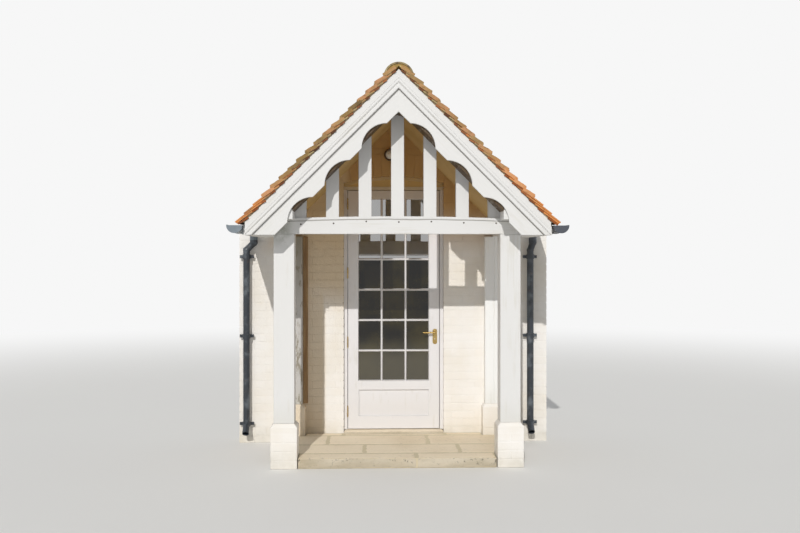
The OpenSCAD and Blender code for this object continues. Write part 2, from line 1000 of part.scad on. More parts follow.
module hinges_door_side() {
    color(brass) at_hinges() {
        hinge_knuckles(1, pin_radius + pin_clearance);
        hinge_flap(1, -leaf_x - flap_thickness, -leaf_x);
    }
}

// Door leaf: stiles, rails and glazing bars
module pane_openings() {
    for (i = [0:pane_columns - 1])
        for (j = [0:pane_rows - 1])
            translate([-glass_x + i * (pane_width + bar_width),
                glass_bottom + j * (pane_height + bar_width)])
                square([pane_width, pane_height]);
}

// One face of every pane splayed from the glass out to the face of the bars
module pane_splays(y, side) {
    depth = bar_depth / 2 - glass_rebate;
    grow = (bar_width - bar_nose) / 2;
    inner_y = y - side * depth;
    intersection() {
        for (i = [0:pane_columns - 1]) {
            left = -glass_x + i * (pane_width + bar_width);
            translate([0, 0, glass_bottom - grow])
                linear_extrude(glass_top - glass_bottom + 2 * grow)
                    polygon([[left, inner_y], [left + pane_width, inner_y],
                        [left + pane_width + grow, y], [left + pane_width + grow, y + side * far],
                        [left - grow, y + side * far], [left - grow, y]]);
        }
        for (j = [0:pane_rows - 1]) {
            low = glass_bottom + j * (pane_height + bar_width);
            translate([-glass_x - grow, 0, 0]) rotate([90, 0, 90])
                linear_extrude(2 * (glass_x + grow))
                    polygon([[inner_y, low], [inner_y, low + pane_height],
                        [y, low + pane_height + grow], [y + side * far, low + pane_height + grow],
                        [y + side * far, low - grow], [y, low - grow]]);
        }
    }
}

module door_leaf() {
    bar_front = leaf_middle - bar_depth / 2;
    color(paint_white) difference() {
        union() {
            upright(door_set_back, leaf_back) difference() {
                translate([-leaf_x, leaf_bottom]) square([2 * leaf_x, leaf_height]);
                translate([-glass_x, glass_bottom]) square([2 * glass_x, glass_top - glass_bottom]);
                translate([-glass_x, panel_bottom]) square([2 * glass_x, panel_height]);
            }
            upright(bar_front, bar_front + bar_depth) difference() {
                translate([-glass_x, glass_bottom]) square([2 * glass_x, glass_top - glass_bottom]);
                pane_openings();
            }
        }
        pane_splays(bar_front, -1);
        pane_splays(bar_front + bar_depth, 1);
        translate([handle_x, 0, lever_z]) rotate([-90, 0, 0])
            cylinder(h = far, r = spindle_radius + 1);
    }
}

module door_glass() {
    color(glass_tint) upright(leaf_middle - glass_thickness / 2, leaf_middle + glass_thickness / 2)
        pane_openings();
}

// Panel with a raised field on both faces
module door_panel() {
    color(paint_white) intersection() {
        panel_slice(glass_x);
        panel_rise();
    }
}

module panel_slice(half) {
    translate([0, 0, panel_bottom]) linear_extrude(panel_height) panel_section(half);
}

module panel_section(half) {
    edge = panel_edge / 2;
    field = panel_field / 2;
    translate([0, leaf_middle]) polygon([[-half, -edge], [-half + panel_border, -field],
        [half - panel_border, -field], [half, -edge], [half, edge], [half - panel_border, field],
        [-half + panel_border, field], [-half, edge]]);
}

module panel_rise() {
    translate([-glass_x, 0, panel_bottom + panel_height / 2]) rotate([0, 90, 0])
        linear_extrude(2 * glass_x) panel_section(panel_height / 2);
}

// Handle plates, one on each face, and the levers on their spindle
module plate_outline() {
    round_end = plate_width / 2;
    straight = plate_height / 2 - round_end;
    keyhole = 4;
    difference() {
        union() {
            translate([-round_end, -straight]) square([plate_width, 2 * straight]);
            for (y = [-straight, straight])
                translate([0, y]) circle(round_end);
        }
        translate([0, lever_rise]) circle(spindle_radius + 1);
        translate([0, keyhole_z - plate_level]) {
            circle(keyhole);
            translate([-keyhole / 2, -2.75 * keyhole]) square([keyhole, 2.75 * keyhole]);
        }
    }
}

module handle_plates() {
    color(brass) for (y = [door_set_back - plate_thickness, leaf_back])
        upright(y, y + plate_thickness) translate([handle_x, plate_level]) plate_outline();
}

module door_levers() {
    front = door_set_back - lever_stand;
    back = leaf_back + lever_stand;
    color(brass) translate([handle_x, 0, lever_z]) {
        translate([0, front, 0]) rotate([-90, 0, 0]) cylinder(h = back - front, r = spindle_radius);
        for (y = [front, back])
            translate([0, y, 0]) lever_arm();
    }
}

module lever_arm() {
    sphere(spindle_radius);
    rotate([0, -90, 0]) cylinder(h = lever_length, r1 = spindle_radius, r2 = lever_radius);
    translate([-lever_length, 0, 0]) sphere(lever_radius);
}

wall_left();
wall_right();
wall_over_door();
door_sill();
landing();
pier_front_left();
pier_front_right();
pier_back_left();
pier_back_right();
post_front_left();
post_front_right();
post_back_left();
post_back_right();
tie_beam();
plate_left();
plate_right();
gable_struts();
ridge_board();
rafters_left();
rafters_right();
barge_rafter_left();
barge_rafter_right();
ceiling_left();
ceiling_right();
tiles_left();
tiles_right();
ridge_tiles();
bargeboard_left();
bargeboard_right();
barge_moulding_left();
barge_moulding_right();
eaves_boards_left();
eaves_boards_right();
gutter_left();
gutter_right();
downpipe_left();
downpipe_right();
roof_flashing();
frame_jamb_left();
frame_jamb_right();
frame_head();
light_ring();
light_globe();
hinges_frame_side();
hinges_door_side();
door_leaf();
door_glass();
door_panel();
handle_plates();
door_levers();
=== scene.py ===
# %% [markdown]
# # An entrance porch, dressed piece by piece
# The frame below holds every part of the porch as plain solids at their real size. This lesson
# gives each one its real surface: brick courses under thick masonry paint, riven stone, brushed
# and weathered timber, handmade clay tiles, cast iron, lead, brass and glass. Nothing moves away
# from the place that the frame gives it.

# %% Load the frame
import math
import random

import bmesh
import bpy
from mathutils import Matrix, Vector, noise


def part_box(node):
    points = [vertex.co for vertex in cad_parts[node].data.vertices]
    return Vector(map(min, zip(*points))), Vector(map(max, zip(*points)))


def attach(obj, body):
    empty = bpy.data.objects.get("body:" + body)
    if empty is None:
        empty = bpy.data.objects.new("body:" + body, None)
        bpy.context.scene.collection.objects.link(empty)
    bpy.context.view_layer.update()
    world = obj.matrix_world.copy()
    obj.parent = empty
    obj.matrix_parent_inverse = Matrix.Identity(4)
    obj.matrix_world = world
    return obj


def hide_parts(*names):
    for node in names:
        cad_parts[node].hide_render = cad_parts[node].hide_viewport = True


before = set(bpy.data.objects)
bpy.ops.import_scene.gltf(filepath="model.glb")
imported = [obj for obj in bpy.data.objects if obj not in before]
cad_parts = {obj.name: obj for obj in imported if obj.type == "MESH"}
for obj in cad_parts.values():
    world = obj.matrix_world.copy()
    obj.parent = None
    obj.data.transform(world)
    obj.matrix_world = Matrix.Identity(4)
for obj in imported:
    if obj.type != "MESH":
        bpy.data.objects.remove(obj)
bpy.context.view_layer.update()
MM = 0.001

# %% [markdown]
# ## The camera
# The picture was taken with a normal lens from eye height, a little left of the middle. A level
# camera keeps the posts upright, and a small vertical shift slides the picture instead of
# tilting the camera, as an architect's camera does.

# %% Camera
FILM_WIDTH = 36
LENS = 43.2
SHIFT = -0.0144
EYE = (-0.265, -9.31, 1.81)
TURNED_RIGHT = math.radians(2)


def new_object(name, data):
    """Every new object goes straight into the scene."""
    made = bpy.data.objects.new(name, data)
    bpy.context.scene.collection.objects.link(made)
    return made


camera = new_object("camera", bpy.data.cameras.new("camera"))
camera.data.lens = LENS
camera.data.sensor_width = FILM_WIDTH
camera.data.shift_y = SHIFT
camera.location = EYE
camera.rotation_euler = (math.radians(90), 0, -TURNED_RIGHT)
bpy.context.scene.camera = camera
print("camera:", LENS, "mm lens at", EYE)

# %% [markdown]
# ## Measures taken from the frame
# Every place in this script comes from the solids, so that a changed frame still gets a porch
# that fits. The roof slope is the angle of the bargeboards' upper edge.

# %% Measures
wall_low, wall_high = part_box("wall_left")
head_low, head_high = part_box("wall_over_door")
beam_low, beam_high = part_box("tie_beam")
strut_low, strut_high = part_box("gable_struts")
board_low, board_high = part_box("bargeboard_left")
opening_half = -wall_high.x
wall_half = -wall_low.x
front_y = beam_low.y
verge_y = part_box("tiles_left")[0].y
board_y = board_low.y
apex_z = board_high.z
tile_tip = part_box("tiles_right")[1].x
pitch = math.radians(45)
SIDES = ((-1, "left"), (1, "right"))
print("apex", round(apex_z, 3), "verge", round(verge_y, 3), "doorway", round(2 * opening_half, 3))

# %% [markdown]
# ## Small tools for shapes
# A copy of a solid arrives as loose triangles. Merging its doubles and dissolving the flat
# triangles gives clean faces that a bevel can follow. A bevel matters more than it seems: no
# real arris is perfectly sharp, and the small round edge is what catches the light.


# %% Shape tools
def from_lists(name, points, faces):
    mesh = bpy.data.meshes.new(name)
    mesh.from_pydata([tuple(p) for p in points], [], faces)
    mesh.update()
    return new_object(name, mesh)


def tube_faces(around, rings=2, first=0):
    """Faces that join rings of points, so many around each, and close both ends."""
    sides = [(a + i, a + (i + 1) % around, a + (i + 1) % around + around, a + i + around)
             for a in range(first, first + around * (rings - 1), around) for i in range(around)]
    last = first + around * (rings - 1)
    return sides + [tuple(range(first, first + around)), tuple(range(last, last + around))]


def closed(name, points, faces, cut_ends=False):
    """A closed shape from lists, with every face turned outwards."""
    piece = from_lists(name, points, faces)
    shape = bmesh.new()
    shape.from_mesh(piece.data)
    if cut_ends:
        bmesh.ops.triangulate(shape, faces=[face for face in shape.faces if len(face.verts) > 4])
    bmesh.ops.recalc_face_normals(shape, faces=shape.faces)
    shape.to_mesh(piece.data)
    shape.free()
    return piece


def prism(name, outline, low_y, high_y):
    """An outline in X and Z, given thickness along Y."""
    points = [(x, y, z) for y in (low_y, high_y) for x, z in outline]
    return closed(name, points, tube_faces(len(outline)))


def box_shape(name, low, high):
    """A plain box between two corners."""
    outline = [(low[0], low[2]), (high[0], low[2]), (high[0], high[2]), (low[0], high[2])]
    return prism(name, outline, low[1], high[1])


def merge_flat(shape, distance):
    """Merges loose triangles into the flat faces that they came from."""
    bmesh.ops.remove_doubles(shape, verts=shape.verts, dist=distance)
    bmesh.ops.dissolve_limit(shape, angle_limit=math.radians(0.3), verts=shape.verts,
                             edges=shape.edges)


def clean_copy(name, *nodes):
    """One new object with the merged faces of these frame nodes."""
    shape = bmesh.new()
    for node in nodes:
        shape.from_mesh(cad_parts[node].data)
    merge_flat(shape, 0.01 * MM)
    mesh = bpy.data.meshes.new(name)
    shape.to_mesh(mesh)
    shape.free()
    if "custom_normal" in mesh.attributes:
        mesh.attributes.remove(mesh.attributes["custom_normal"])
    mesh.materials.clear()
    return new_object(name, mesh)


def settle(piece):
    """Turns the evaluated mesh, with all modifiers, into the piece's own plain mesh."""
    graph = bpy.context.evaluated_depsgraph_get()
    mesh = bpy.data.meshes.new_from_object(piece.evaluated_get(graph))
    piece.modifiers.clear()
    piece.data = mesh
    return piece


def soften(piece, width, segments=2, angle=35):
    """Rounds every real edge by the same small width."""
    bevel = piece.modifiers.new("arris", "BEVEL")
    bevel.width = width
    bevel.segments = segments
    bevel.limit_method = "ANGLE"
    bevel.angle_limit = math.radians(angle)
    bevel.harden_normals = True
    piece.data.shade_smooth()
    return settle(piece)


def smooth_between(piece, angle):
    """Shades a piece smooth, except over edges sharper than the angle."""
    piece.data.shade_smooth()
    piece.data.set_sharp_from_angle(angle=math.radians(angle))


def finish_piece(piece, material, nodes=(), body="porch"):
    """Hands a finished piece to the frame: its paint, its body, what it stands for."""
    piece.data.materials.clear()
    piece.data.materials.append(material)
    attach(piece, body)
    if nodes:
        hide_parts(*nodes)
    print(piece.name, "has", len(piece.data.polygons), "faces")
    return piece


def dress(name, node, arris, material, body="porch"):
    """A clean copy of a solid with softened edges, which stands for it."""
    return finish_piece(soften(clean_copy(name, node), arris), material, [node], body)


# %% [markdown]
# ## Small tools for finishes
# Each finish is one Principled shader with a few noises in front of it. All patterns read the
# object's own coordinates in metres, so a scale of 100 is a pattern of about one centimetre.


# %% Finish tools
def linear(tone):
    """A paint chart's hex colour as linear light, which is what shaders add and mix."""
    channels = [int(tone[i:i + 2], 16) / 255 for i in (1, 3, 5)]
    return [c / 12.92 if c <= 0.04045 else ((c + 0.055) / 1.055) ** 2.4 for c in channels] + [1]


def add_node(tree, kind, inputs=(), **settings):
    """A node with its settings made, and each input linked to a socket or set to a value."""
    node = tree.nodes.new(kind)
    for key, value in settings.items():
        setattr(node, key, value)
    for socket, value in dict(inputs).items():
        if isinstance(value, bpy.types.NodeSocket):
            tree.links.new(value, node.inputs[socket])
        else:
            node.inputs[socket].default_value = value
    return node


class Finish:
    """A material with one Principled shader, and short calls for the nodes that feed it."""

    def __init__(self, name, roughness=0.5, **constants):
        self.material = bpy.data.materials.new(name)
        self.material.use_nodes = True
        self.tree = self.material.node_tree
        self.shader = self.tree.nodes["Principled BSDF"]
        self.shader.inputs["Roughness"].default_value = roughness
        for socket, value in constants.items():
            self.shader.inputs[socket.replace("_", " ")].default_value = value
        self.coords = self.add("ShaderNodeTexCoord").outputs["Object"]
        self.normal = None

    def add(self, kind, inputs=(), **settings):
        return add_node(self.tree, kind, inputs, **settings)

    def feed(self, socket, value):
        self.tree.links.new(value, self.shader.inputs[socket])

    def placed(self, stretch=(1, 1, 1), turn=(0, 0, 0)):
        turned = self.add("ShaderNodeMapping", {"Vector": self.coords, "Rotation": turn}).outputs[0]
        return self.add("ShaderNodeMapping", {"Vector": turned, "Scale": stretch}).outputs[0]

    def noise(self, scale, detail=3.0, where=None, rough=0.55):
        return self.add("ShaderNodeTexNoise", {"Vector": where or self.coords, "Scale": scale,
                                               "Detail": detail, "Roughness": rough}).outputs["Fac"]

    def between(self, value, low, high):
        """0 below low, 1 above high, and a smooth step between."""
        return self.add("ShaderNodeMapRange", {"Value": value, "From Min": low, "From Max": high},
                        interpolation_type="SMOOTHSTEP").outputs["Result"]

    def patches(self, scale, detail, low, high, rough=0.55):
        """Noise drawn out into patches, 0 below low and 1 above high."""
        return self.between(self.noise(scale, detail, rough=rough), low, high)

    def math(self, operation, first, second=0.5):
        return self.add("ShaderNodeMath", {0: first, 1: second}, operation=operation).outputs[0]

    def times(self, first, *others):
        for other in others:
            first = self.math("MULTIPLY", first, other)
        return first

    def plus(self, first, second):
        return self.math("ADD", first, second)

    def less(self, first, second):
        return self.math("SUBTRACT", first, second)

    def most(self, first, second):
        return self.math("MAXIMUM", first, second)

    def axis(self, name, mirrored=False):
        """One coordinate in metres; mirrored gives the distance from the middle plane."""
        value = self.add("ShaderNodeSeparateXYZ", {0: self.coords}).outputs[name]
        return self.math("ABSOLUTE", value) if mirrored else value

    def along(self, name, low, high):
        """A smooth step along one axis, from 0 at low to 1 at high."""
        return self.between(self.axis(name), low, high)

    def attribute(self, name):
        return self.add("ShaderNodeAttribute", attribute_name=name).outputs["Fac"]

    def blend(self, factor, first, second):
        first = linear(first) if isinstance(first, str) else first
        second = linear(second) if isinstance(second, str) else second
        return self.add("ShaderNodeMix", {0: factor, 6: first, 7: second},
                        data_type="RGBA").outputs[2]

    def stain(self, coat, where, share, tone):
        """A coat with a second tone over it, as strong as its share wherever it lies."""
        return self.blend(self.times(where, share), coat, tone)

    def ramp(self, factor, stops):
        node = self.add("ShaderNodeValToRGB", {"Fac": factor})
        marks = node.color_ramp.elements
        while len(marks) < len(stops):
            marks.new(0.5)
        for mark, (position, tone) in zip(marks, stops):
            mark.position = position
            mark.color = linear(tone)
        return node.outputs["Color"]

    def paint(self, colour):
        self.feed("Base Color", colour)

    def gloss(self, factor, dull, shiny):
        spread = self.add("ShaderNodeMapRange", {"Value": factor, "To Min": dull, "To Max": shiny})
        self.feed("Roughness", spread.outputs["Result"])

    def bump(self, value, depth, strength=1.0):
        inputs = {"Height": value, "Distance": depth, "Strength": strength}
        if self.normal:
            inputs["Normal"] = self.normal
        self.normal = self.add("ShaderNodeBump", inputs).outputs["Normal"]
        self.feed("Normal", self.normal)

    def grain(self, scale, detail, depth, strength, rough=0.55):
        """Noise as fine relief."""
        self.bump(self.noise(scale, detail, rough=rough), depth, strength)


# %% [markdown]
# ## Painted timber
# The frame is softwood under several coats of white paint. Brush strokes and raised grain run
# along each member, so the grain noise is squeezed across the member and stretched along it.
# Rain leaves faint grey runs and a little green near the ground. One function makes the paint,
# and each direction of grain gets its own material.


# %% Timber paint
def green_growth(paint):
    """Grey green algae on the shaded left post head and beam end, where the roof drips."""
    place = paint.times(paint.along("X", -0.86, -0.98), paint.along("Z", 1.84, 2.02),
                        paint.along("Y", front_y + 0.2, front_y + 0.1),
                        paint.along("Y", front_y - 0.06, front_y - 0.03))
    return paint.times(place, paint.patches(11, 6, 0.34, 0.60, 0.65))


def under_roof_shade(paint):
    """1 for what lies deep under the roof, where the paint gets a warm painted shade."""
    return paint.times(paint.along("Y", front_y + 0.07, front_y + 0.16),
                       paint.along("Z", 1.9, 2.3))


def timber_paint(name, stretch, turn=(0, 0, 0), tone="#dedddb", warm_shade=0.5, dirt_and_shade=None,
                 dirt_and_shade_tone="#77716a", splashed=0.22):
    paint = Finish(name, 0.5)
    strokes = paint.noise(1.0, 4, paint.placed(stretch, turn))
    grime = paint.between(paint.times(paint.noise(2.2, 5), strokes), 0.27, 0.42)
    coat = paint.stain(tone, grime, 0.30, "#c9c4b6")
    coat = paint.stain(coat, paint.along("Z", 0.62, 0.30), splashed, "#b9b49c")
    coat = paint.stain(coat, green_growth(paint), 0.75, "#8f9284")
    # Deep under the roof, a warm painted shade over the paint.
    coat = paint.stain(coat, under_roof_shade(paint), warm_shade, "#b99a68")
    # An extra mark from the caller, which is real wear on some members and painted shade on others.
    if dirt_and_shade:
        coat = paint.blend(dirt_and_shade(paint), coat, dirt_and_shade_tone)
    paint.paint(coat)
    paint.gloss(strokes, 0.62, 0.42)
    paint.bump(strokes, 0.0016, 0.55)
    paint.grain(9, 3, 0.004, 0.35)
    return paint.material


# %% Dirt and painted shade on the timber
MOULDING = 110 * MM
CAMBER = 23 * MM
APRON = 19 * MM


def band(paint, value, low, high, soft=2 * MM):
    """1 between two values, with soft ends."""
    return paint.times(paint.between(value, low - soft, low + soft),
                       paint.between(value, high + soft, high - soft))


def quirk_shadow(paint):
    """A painted shadow: a dark line on the bargeboards along the foot of the planted moulding."""
    below = paint.less(apex_z, paint.plus(paint.axis("X", True), paint.axis("Z")))
    depth = paint.times(below, math.sqrt(0.5))
    return paint.times(band(paint, depth, MOULDING, MOULDING + 6 * MM), 0.75)


def capping_shadow(paint):
    """A painted shadow: a dark wavy line on the tie beam just under the edge of its capping."""
    share = paint.times(paint.axis("X"), 1 / beam_high.x)
    edge = paint.less(beam_high.z - APRON, paint.times(share, share, CAMBER))
    wave = paint.times(paint.noise(5, 2), 10 * MM)
    depth = paint.less(paint.plus(paint.axis("Z"), 5 * MM), paint.plus(edge, wave))
    front = paint.along("Y", front_y + 5 * MM, front_y + MM)
    return paint.times(band(paint, depth, -7 * MM, 0), front, 0.8)


def peeling_and_shade(paint):
    """Old paint on the left wall post has come off in patches, and a painted shade darkens it brown
    towards the plate.
    """
    patches = paint.between(paint.noise(1.0, 5, paint.placed((26, 26, 9)), 0.65), 0.50, 0.60)
    # Painted shade: brown growing towards the plate.
    high = paint.times(paint.along("Z", 1.25, 2.0), 0.75)
    return paint.most(paint.times(patches, 0.8), high)


# %% Paint for each direction of grain
ACROSS = 55
ALONG = 3
UPRIGHT = (ACROSS, ACROSS, ALONG)
LEVEL = (ALONG, ACROSS, ACROSS)
DEEP = (ACROSS, ALONG, ACROSS)
upright_paint = timber_paint("paint upright", UPRIGHT)
worn_paint = timber_paint("paint worn post", UPRIGHT, tone="#bebbb7", dirt_and_shade=peeling_and_shade,
                          dirt_and_shade_tone="#7c725c")
fresh_paint = timber_paint("paint fresh post", UPRIGHT, tone="#f0f0ee")
level_paint = timber_paint("paint level", LEVEL)
beam_paint = timber_paint("paint beam", LEVEL, dirt_and_shade=capping_shadow)
deep_paint = timber_paint("paint deep", DEEP)
slope_paint = {label: timber_paint("paint " + label + " slope", LEVEL, (0, -side * pitch, 0),
                                   dirt_and_shade=quirk_shadow) for side, label in SIDES}
print("paints for timber:", 6 + len(slope_paint))

# %% [markdown]
# ## The timber frame
# Posts, beam, plates, struts and rafters keep the shape of their solids. Each is a clean copy
# with worn arrises, painted along its own length. The bargeboards meet at the apex, so the bevel
# doesn't open their joint there.

# %% Timber members
timber_members = [
    (upright_paint, 5 * MM, ["post_front_left", "post_front_right"]),
    (worn_paint, 5 * MM, ["post_back_left"]),
    (fresh_paint, 5 * MM, ["post_back_right"]),
    (upright_paint, 3 * MM, ["gable_struts"]),
    (beam_paint, 5 * MM, ["tie_beam"]),
    (deep_paint, 4 * MM, ["plate_left", "plate_right", "ridge_board", "eaves_boards_left",
                          "eaves_boards_right"]),
]
for side, label in SIDES:
    sloping = [member + label for member in ("rafters_", "barge_rafter_", "bargeboard_")]
    timber_members.append((slope_paint[label], 3 * MM, sloping))
for paint, arris, members in timber_members:
    for member in members:
        timber = soften(clean_copy("timber_" + member, member), arris)
        if member.startswith("bargeboard"):
            for vertex in timber.data.vertices:
                if abs(vertex.co.x) < arris * 1.1:
                    vertex.co.x = 0
        finish_piece(timber, paint, [member])

# %% [markdown]
# A narrow unpainted fillet covers the joint between the left wall post and the brickwork.

# %% Wall post fillet
FILLET_WIDE = 45 * MM
FILLET_FOOT = 0.38
wall_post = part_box("post_back_left")[1]
bare_wood = Finish("bare wood", 0.8)
bare_grain = bare_wood.noise(1.0, 5, bare_wood.placed((60, 60, 4)))
bare_wood.paint(bare_wood.blend(bare_wood.between(bare_grain, 0.3, 0.7), "#94734f", "#ad8f69"))
bare_wood.bump(bare_grain, 0.0015, 0.6)
fillet = box_shape("post_fillet", (wall_post.x, -22 * MM, FILLET_FOOT),
                   (wall_post.x + FILLET_WIDE, 3 * MM, wall_post.z - MM))
finish_piece(soften(fillet, 2 * MM), bare_wood.material)

# %% [markdown]
# The moulding planted on the bargeboards is a carpenter's profile: a flat fascia, a shallow step,
# a second fascia, a quirk and a torus. It is drawn once as a section, run up each slope, mitred
# where the two meet and cut level at the foot and plumb at the end, as the board under it is.


# %% Planted mouldings
def arc(centre, radius, start, end, steps=5):
    """Points of a moulding curve: how far it stands out, and how far it lies below the top edge."""
    turns = [math.radians(start + (end - start) * k / steps) for k in range(steps + 1)]
    return [(centre[0] + radius * math.cos(t), centre[1] + radius * math.sin(t)) for t in turns]


def moulding_profile():
    fascia = [(0, 0), (30, 0), (30, 48), (27, 50), (27, 66)]
    quirk = [(16, 77), (16, 78)]
    torus = arc((23, 83), 6, -75, 0) + arc((24, 103), 5, 0, 85)
    front = fascia + quirk + torus + [(12, 108.5), (12, 110), (0, 110)]
    return [(out * MM, down * MM) for out, down in front]


def planted_moulding(side, label):
    profile = moulding_profile()
    low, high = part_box("bargeboard_" + label)
    end_x = max(abs(low.x), abs(high.x))
    points = [(0, board_y - out, apex_z - down / math.cos(pitch)) for out, down in profile]
    for out, down in profile:
        run = min(down + end_x / math.cos(pitch), (apex_z - low.z) / math.sin(pitch) - down)
        spot_x = (run - down) * math.cos(pitch)
        points.append((side * spot_x, board_y - out, apex_z - (run + down) * math.sin(pitch)))
    piece = closed("moulding_" + label, points, tube_faces(len(profile)), cut_ends=True)
    smooth_between(piece, 35)
    finish_piece(piece, slope_paint[label], ["barge_moulding_" + label])


for side, label in SIDES:
    planted_moulding(side, label)

# %% [markdown]
# Under the overhang, between the bargeboards and the first pair of struts, the roof has a boarded
# soffit and a block under the apex, whose dark brown is painted shade. It ends at the noses of the
# side plates, which are painted white.

# %% Soffit and plate noses
SOFFIT = 62 * MM
PEAK = 75 * MM
NOSE_FOOT = 125 * MM
NOSE_TOP = 45 * MM
soffit_back = strut_low.y - MM
board_back = board_high.y
lining_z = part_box("ceiling_left")[1].z
nose_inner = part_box("post_front_right")[0].x - 3 * MM
nose_low = beam_high.z - 30 * MM
nose_high = beam_high.z + 50 * MM
# The soffit's dark brown is painted shade.
soffit_shade_paint = timber_paint("soffit paint", DEEP, tone="#4c3718", warm_shade=0.0)
for side, label in SIDES:
    boards = [(0, lining_z - SOFFIT), (side * nose_inner, lining_z - SOFFIT - nose_inner),
              (side * nose_inner, lining_z - nose_inner), (0, lining_z)]
    finish_piece(prism("soffit_" + label, boards, board_back, soffit_back),
                 soffit_shade_paint)
    nose = [(side * nose_inner, nose_low), (side * (nose_inner + NOSE_FOOT), nose_low),
            (side * (nose_inner + NOSE_TOP), nose_high), (side * nose_inner, nose_high)]
    nose = prism("plate_nose_" + label, nose, board_back + MM, front_y - MM)
    finish_piece(soften(nose, 2 * MM), deep_paint)
peak_block = [(-PEAK, lining_z - SOFFIT - PEAK), (0, lining_z - SOFFIT - 0.6 * PEAK),
              (PEAK, lining_z - SOFFIT - PEAK), (0, lining_z - SOFFIT)]
finish_piece(prism("soffit_peak", peak_block, board_back, soffit_back),
             soffit_shade_paint)

# %% [markdown]
# A strip of lead is dressed over the front edge of the tie beam to keep rain out of its top. It
# has been painted with the timber, and its lower edge stands off in shallow waves.

# %% Beam capping
CAPPING_END = 985 * MM
CAPPING_STEPS = 120
CAPPING_THICK = 2.5 * MM
capping_points = []
for step in range(CAPPING_STEPS + 1):
    x = -CAPPING_END + 2 * CAPPING_END * step / CAPPING_STEPS
    top = beam_high.z - CAMBER * (x / beam_high.x) ** 2
    apron = (17 + 4 * noise.noise(Vector((x * 4, 0, 0)))) * MM
    lift = (2 + 2 * noise.noise(Vector((x * 9, 5, 0)))) * MM
    capping_points += [(x, y, top + z) for y, z in (
        (front_y - MM - lift, -apron), (front_y - 3 * MM, CAPPING_THICK),
        (strut_low.y - MM, CAPPING_THICK), (strut_low.y - MM, 0), (front_y, 0),
        (front_y, -5 * MM))]
capping = closed("beam_capping", capping_points, tube_faces(6, CAPPING_STEPS + 1))
finish_piece(capping, level_paint)

# %% [markdown]
# ## Geometry Nodes for whatever is laid or fixed many times
# Bricks, tiles, pegs and screws are all the same idea: one shape, set at many points, each with
# its own size and turn and a little unevenness. The tree reads the size and turn that each point
# carries, adds a small seeded error, stores a random tone for the colour, and ends in real mesh.


# %% Laying tree
def laying_tree():
    tree = bpy.data.node_groups.new("laying", "GeometryNodeTree")
    for name, kind in (("Geometry", "Geometry"), ("Shape", "Object"), ("Finish", "Material"),
                       ("Seed", "Int"), ("Shift", "Vector"), ("Twist", "Vector")):
        tree.interface.new_socket(name, in_out="INPUT", socket_type="NodeSocket" + kind)
    tree.interface.new_socket("Geometry", in_out="OUTPUT", socket_type="NodeSocketGeometry")
    inputs = add_node(tree, "NodeGroupInput").outputs

    def carried(name):
        return add_node(tree, "GeometryNodeInputNamedAttribute", {"Name": name},
                        data_type="FLOAT_VECTOR").outputs["Attribute"]

    def error(limit, step):
        """A seeded random vector between minus and plus the limit."""
        low = add_node(tree, "ShaderNodeVectorMath", {0: limit, "Scale": -1}, operation="SCALE")
        seed = add_node(tree, "ShaderNodeMath", {0: inputs["Seed"], 1: step})
        return add_node(tree, "FunctionNodeRandomValue",
                        {0: low.outputs[0], 1: limit, "Seed": seed.outputs[0]},
                        data_type="FLOAT_VECTOR").outputs[0]

    moved = add_node(tree, "GeometryNodeSetPosition",
                     {"Geometry": inputs["Geometry"], "Offset": error(inputs["Shift"], 1)})
    turn = add_node(tree, "ShaderNodeVectorMath",
                    {0: carried("turn"), 1: error(inputs["Twist"], 2)})
    rotation = add_node(tree, "FunctionNodeEulerToRotation", {0: turn.outputs[0]})
    shape = add_node(tree, "GeometryNodeObjectInfo", {"Object": inputs["Shape"]})
    laid = add_node(tree, "GeometryNodeInstanceOnPoints",
                    {"Points": moved.outputs[0], "Instance": shape.outputs["Geometry"],
                     "Rotation": rotation.outputs[0], "Scale": carried("size")})
    tone = add_node(tree, "FunctionNodeRandomValue", {"Seed": inputs["Seed"]})
    stored = add_node(tree, "GeometryNodeStoreNamedAttribute",
                      {"Geometry": laid.outputs[0], "Name": "tone", "Value": tone.outputs[1]},
                      domain="INSTANCE")
    real = add_node(tree, "GeometryNodeRealizeInstances", {0: stored.outputs[0]})
    painted = add_node(tree, "GeometryNodeSetMaterial",
                       {"Geometry": real.outputs[0], "Material": inputs["Finish"]})
    add_node(tree, "NodeGroupOutput", {0: painted.outputs[0]})
    return tree


LAYING = laying_tree()
NO_TURN = (0, 0, 0)
print("laying tree:", len(LAYING.nodes), "nodes")


def lay(name, shape, places, material, seed, shift=(0, 0, 0), twist=(0, 0, 0)):
    """places holds (centre, size, turn) for each copy of the shape."""
    piece = from_lists(name, [centre for centre, size, turn in places], [])
    for label, column in (("size", 1), ("turn", 2)):
        values = piece.data.attributes.new(label, "FLOAT_VECTOR", "POINT").data
        for value, place in zip(values, places):
            value.vector = place[column]
    modifier = piece.modifiers.new("laying", "NODES")
    modifier.node_group = LAYING
    wanted = {"Shape": shape, "Finish": material, "Seed": seed, "Shift": shift, "Twist": twist}
    for item in LAYING.interface.items_tree:
        if item.in_out == "INPUT" and item.name in wanted:
            modifier[item.identifier] = wanted[item.name]
    return piece


# %% [markdown]
# ## Painted brickwork
# The house wall and the piers are brick, laid in 75 mm courses and painted cream so often that
# the bed joints are only shallow grooves and the upright joints are nearly full. Each brick is a
# real block that stands a few millimetres proud of the backing, so its joints keep their shadow.


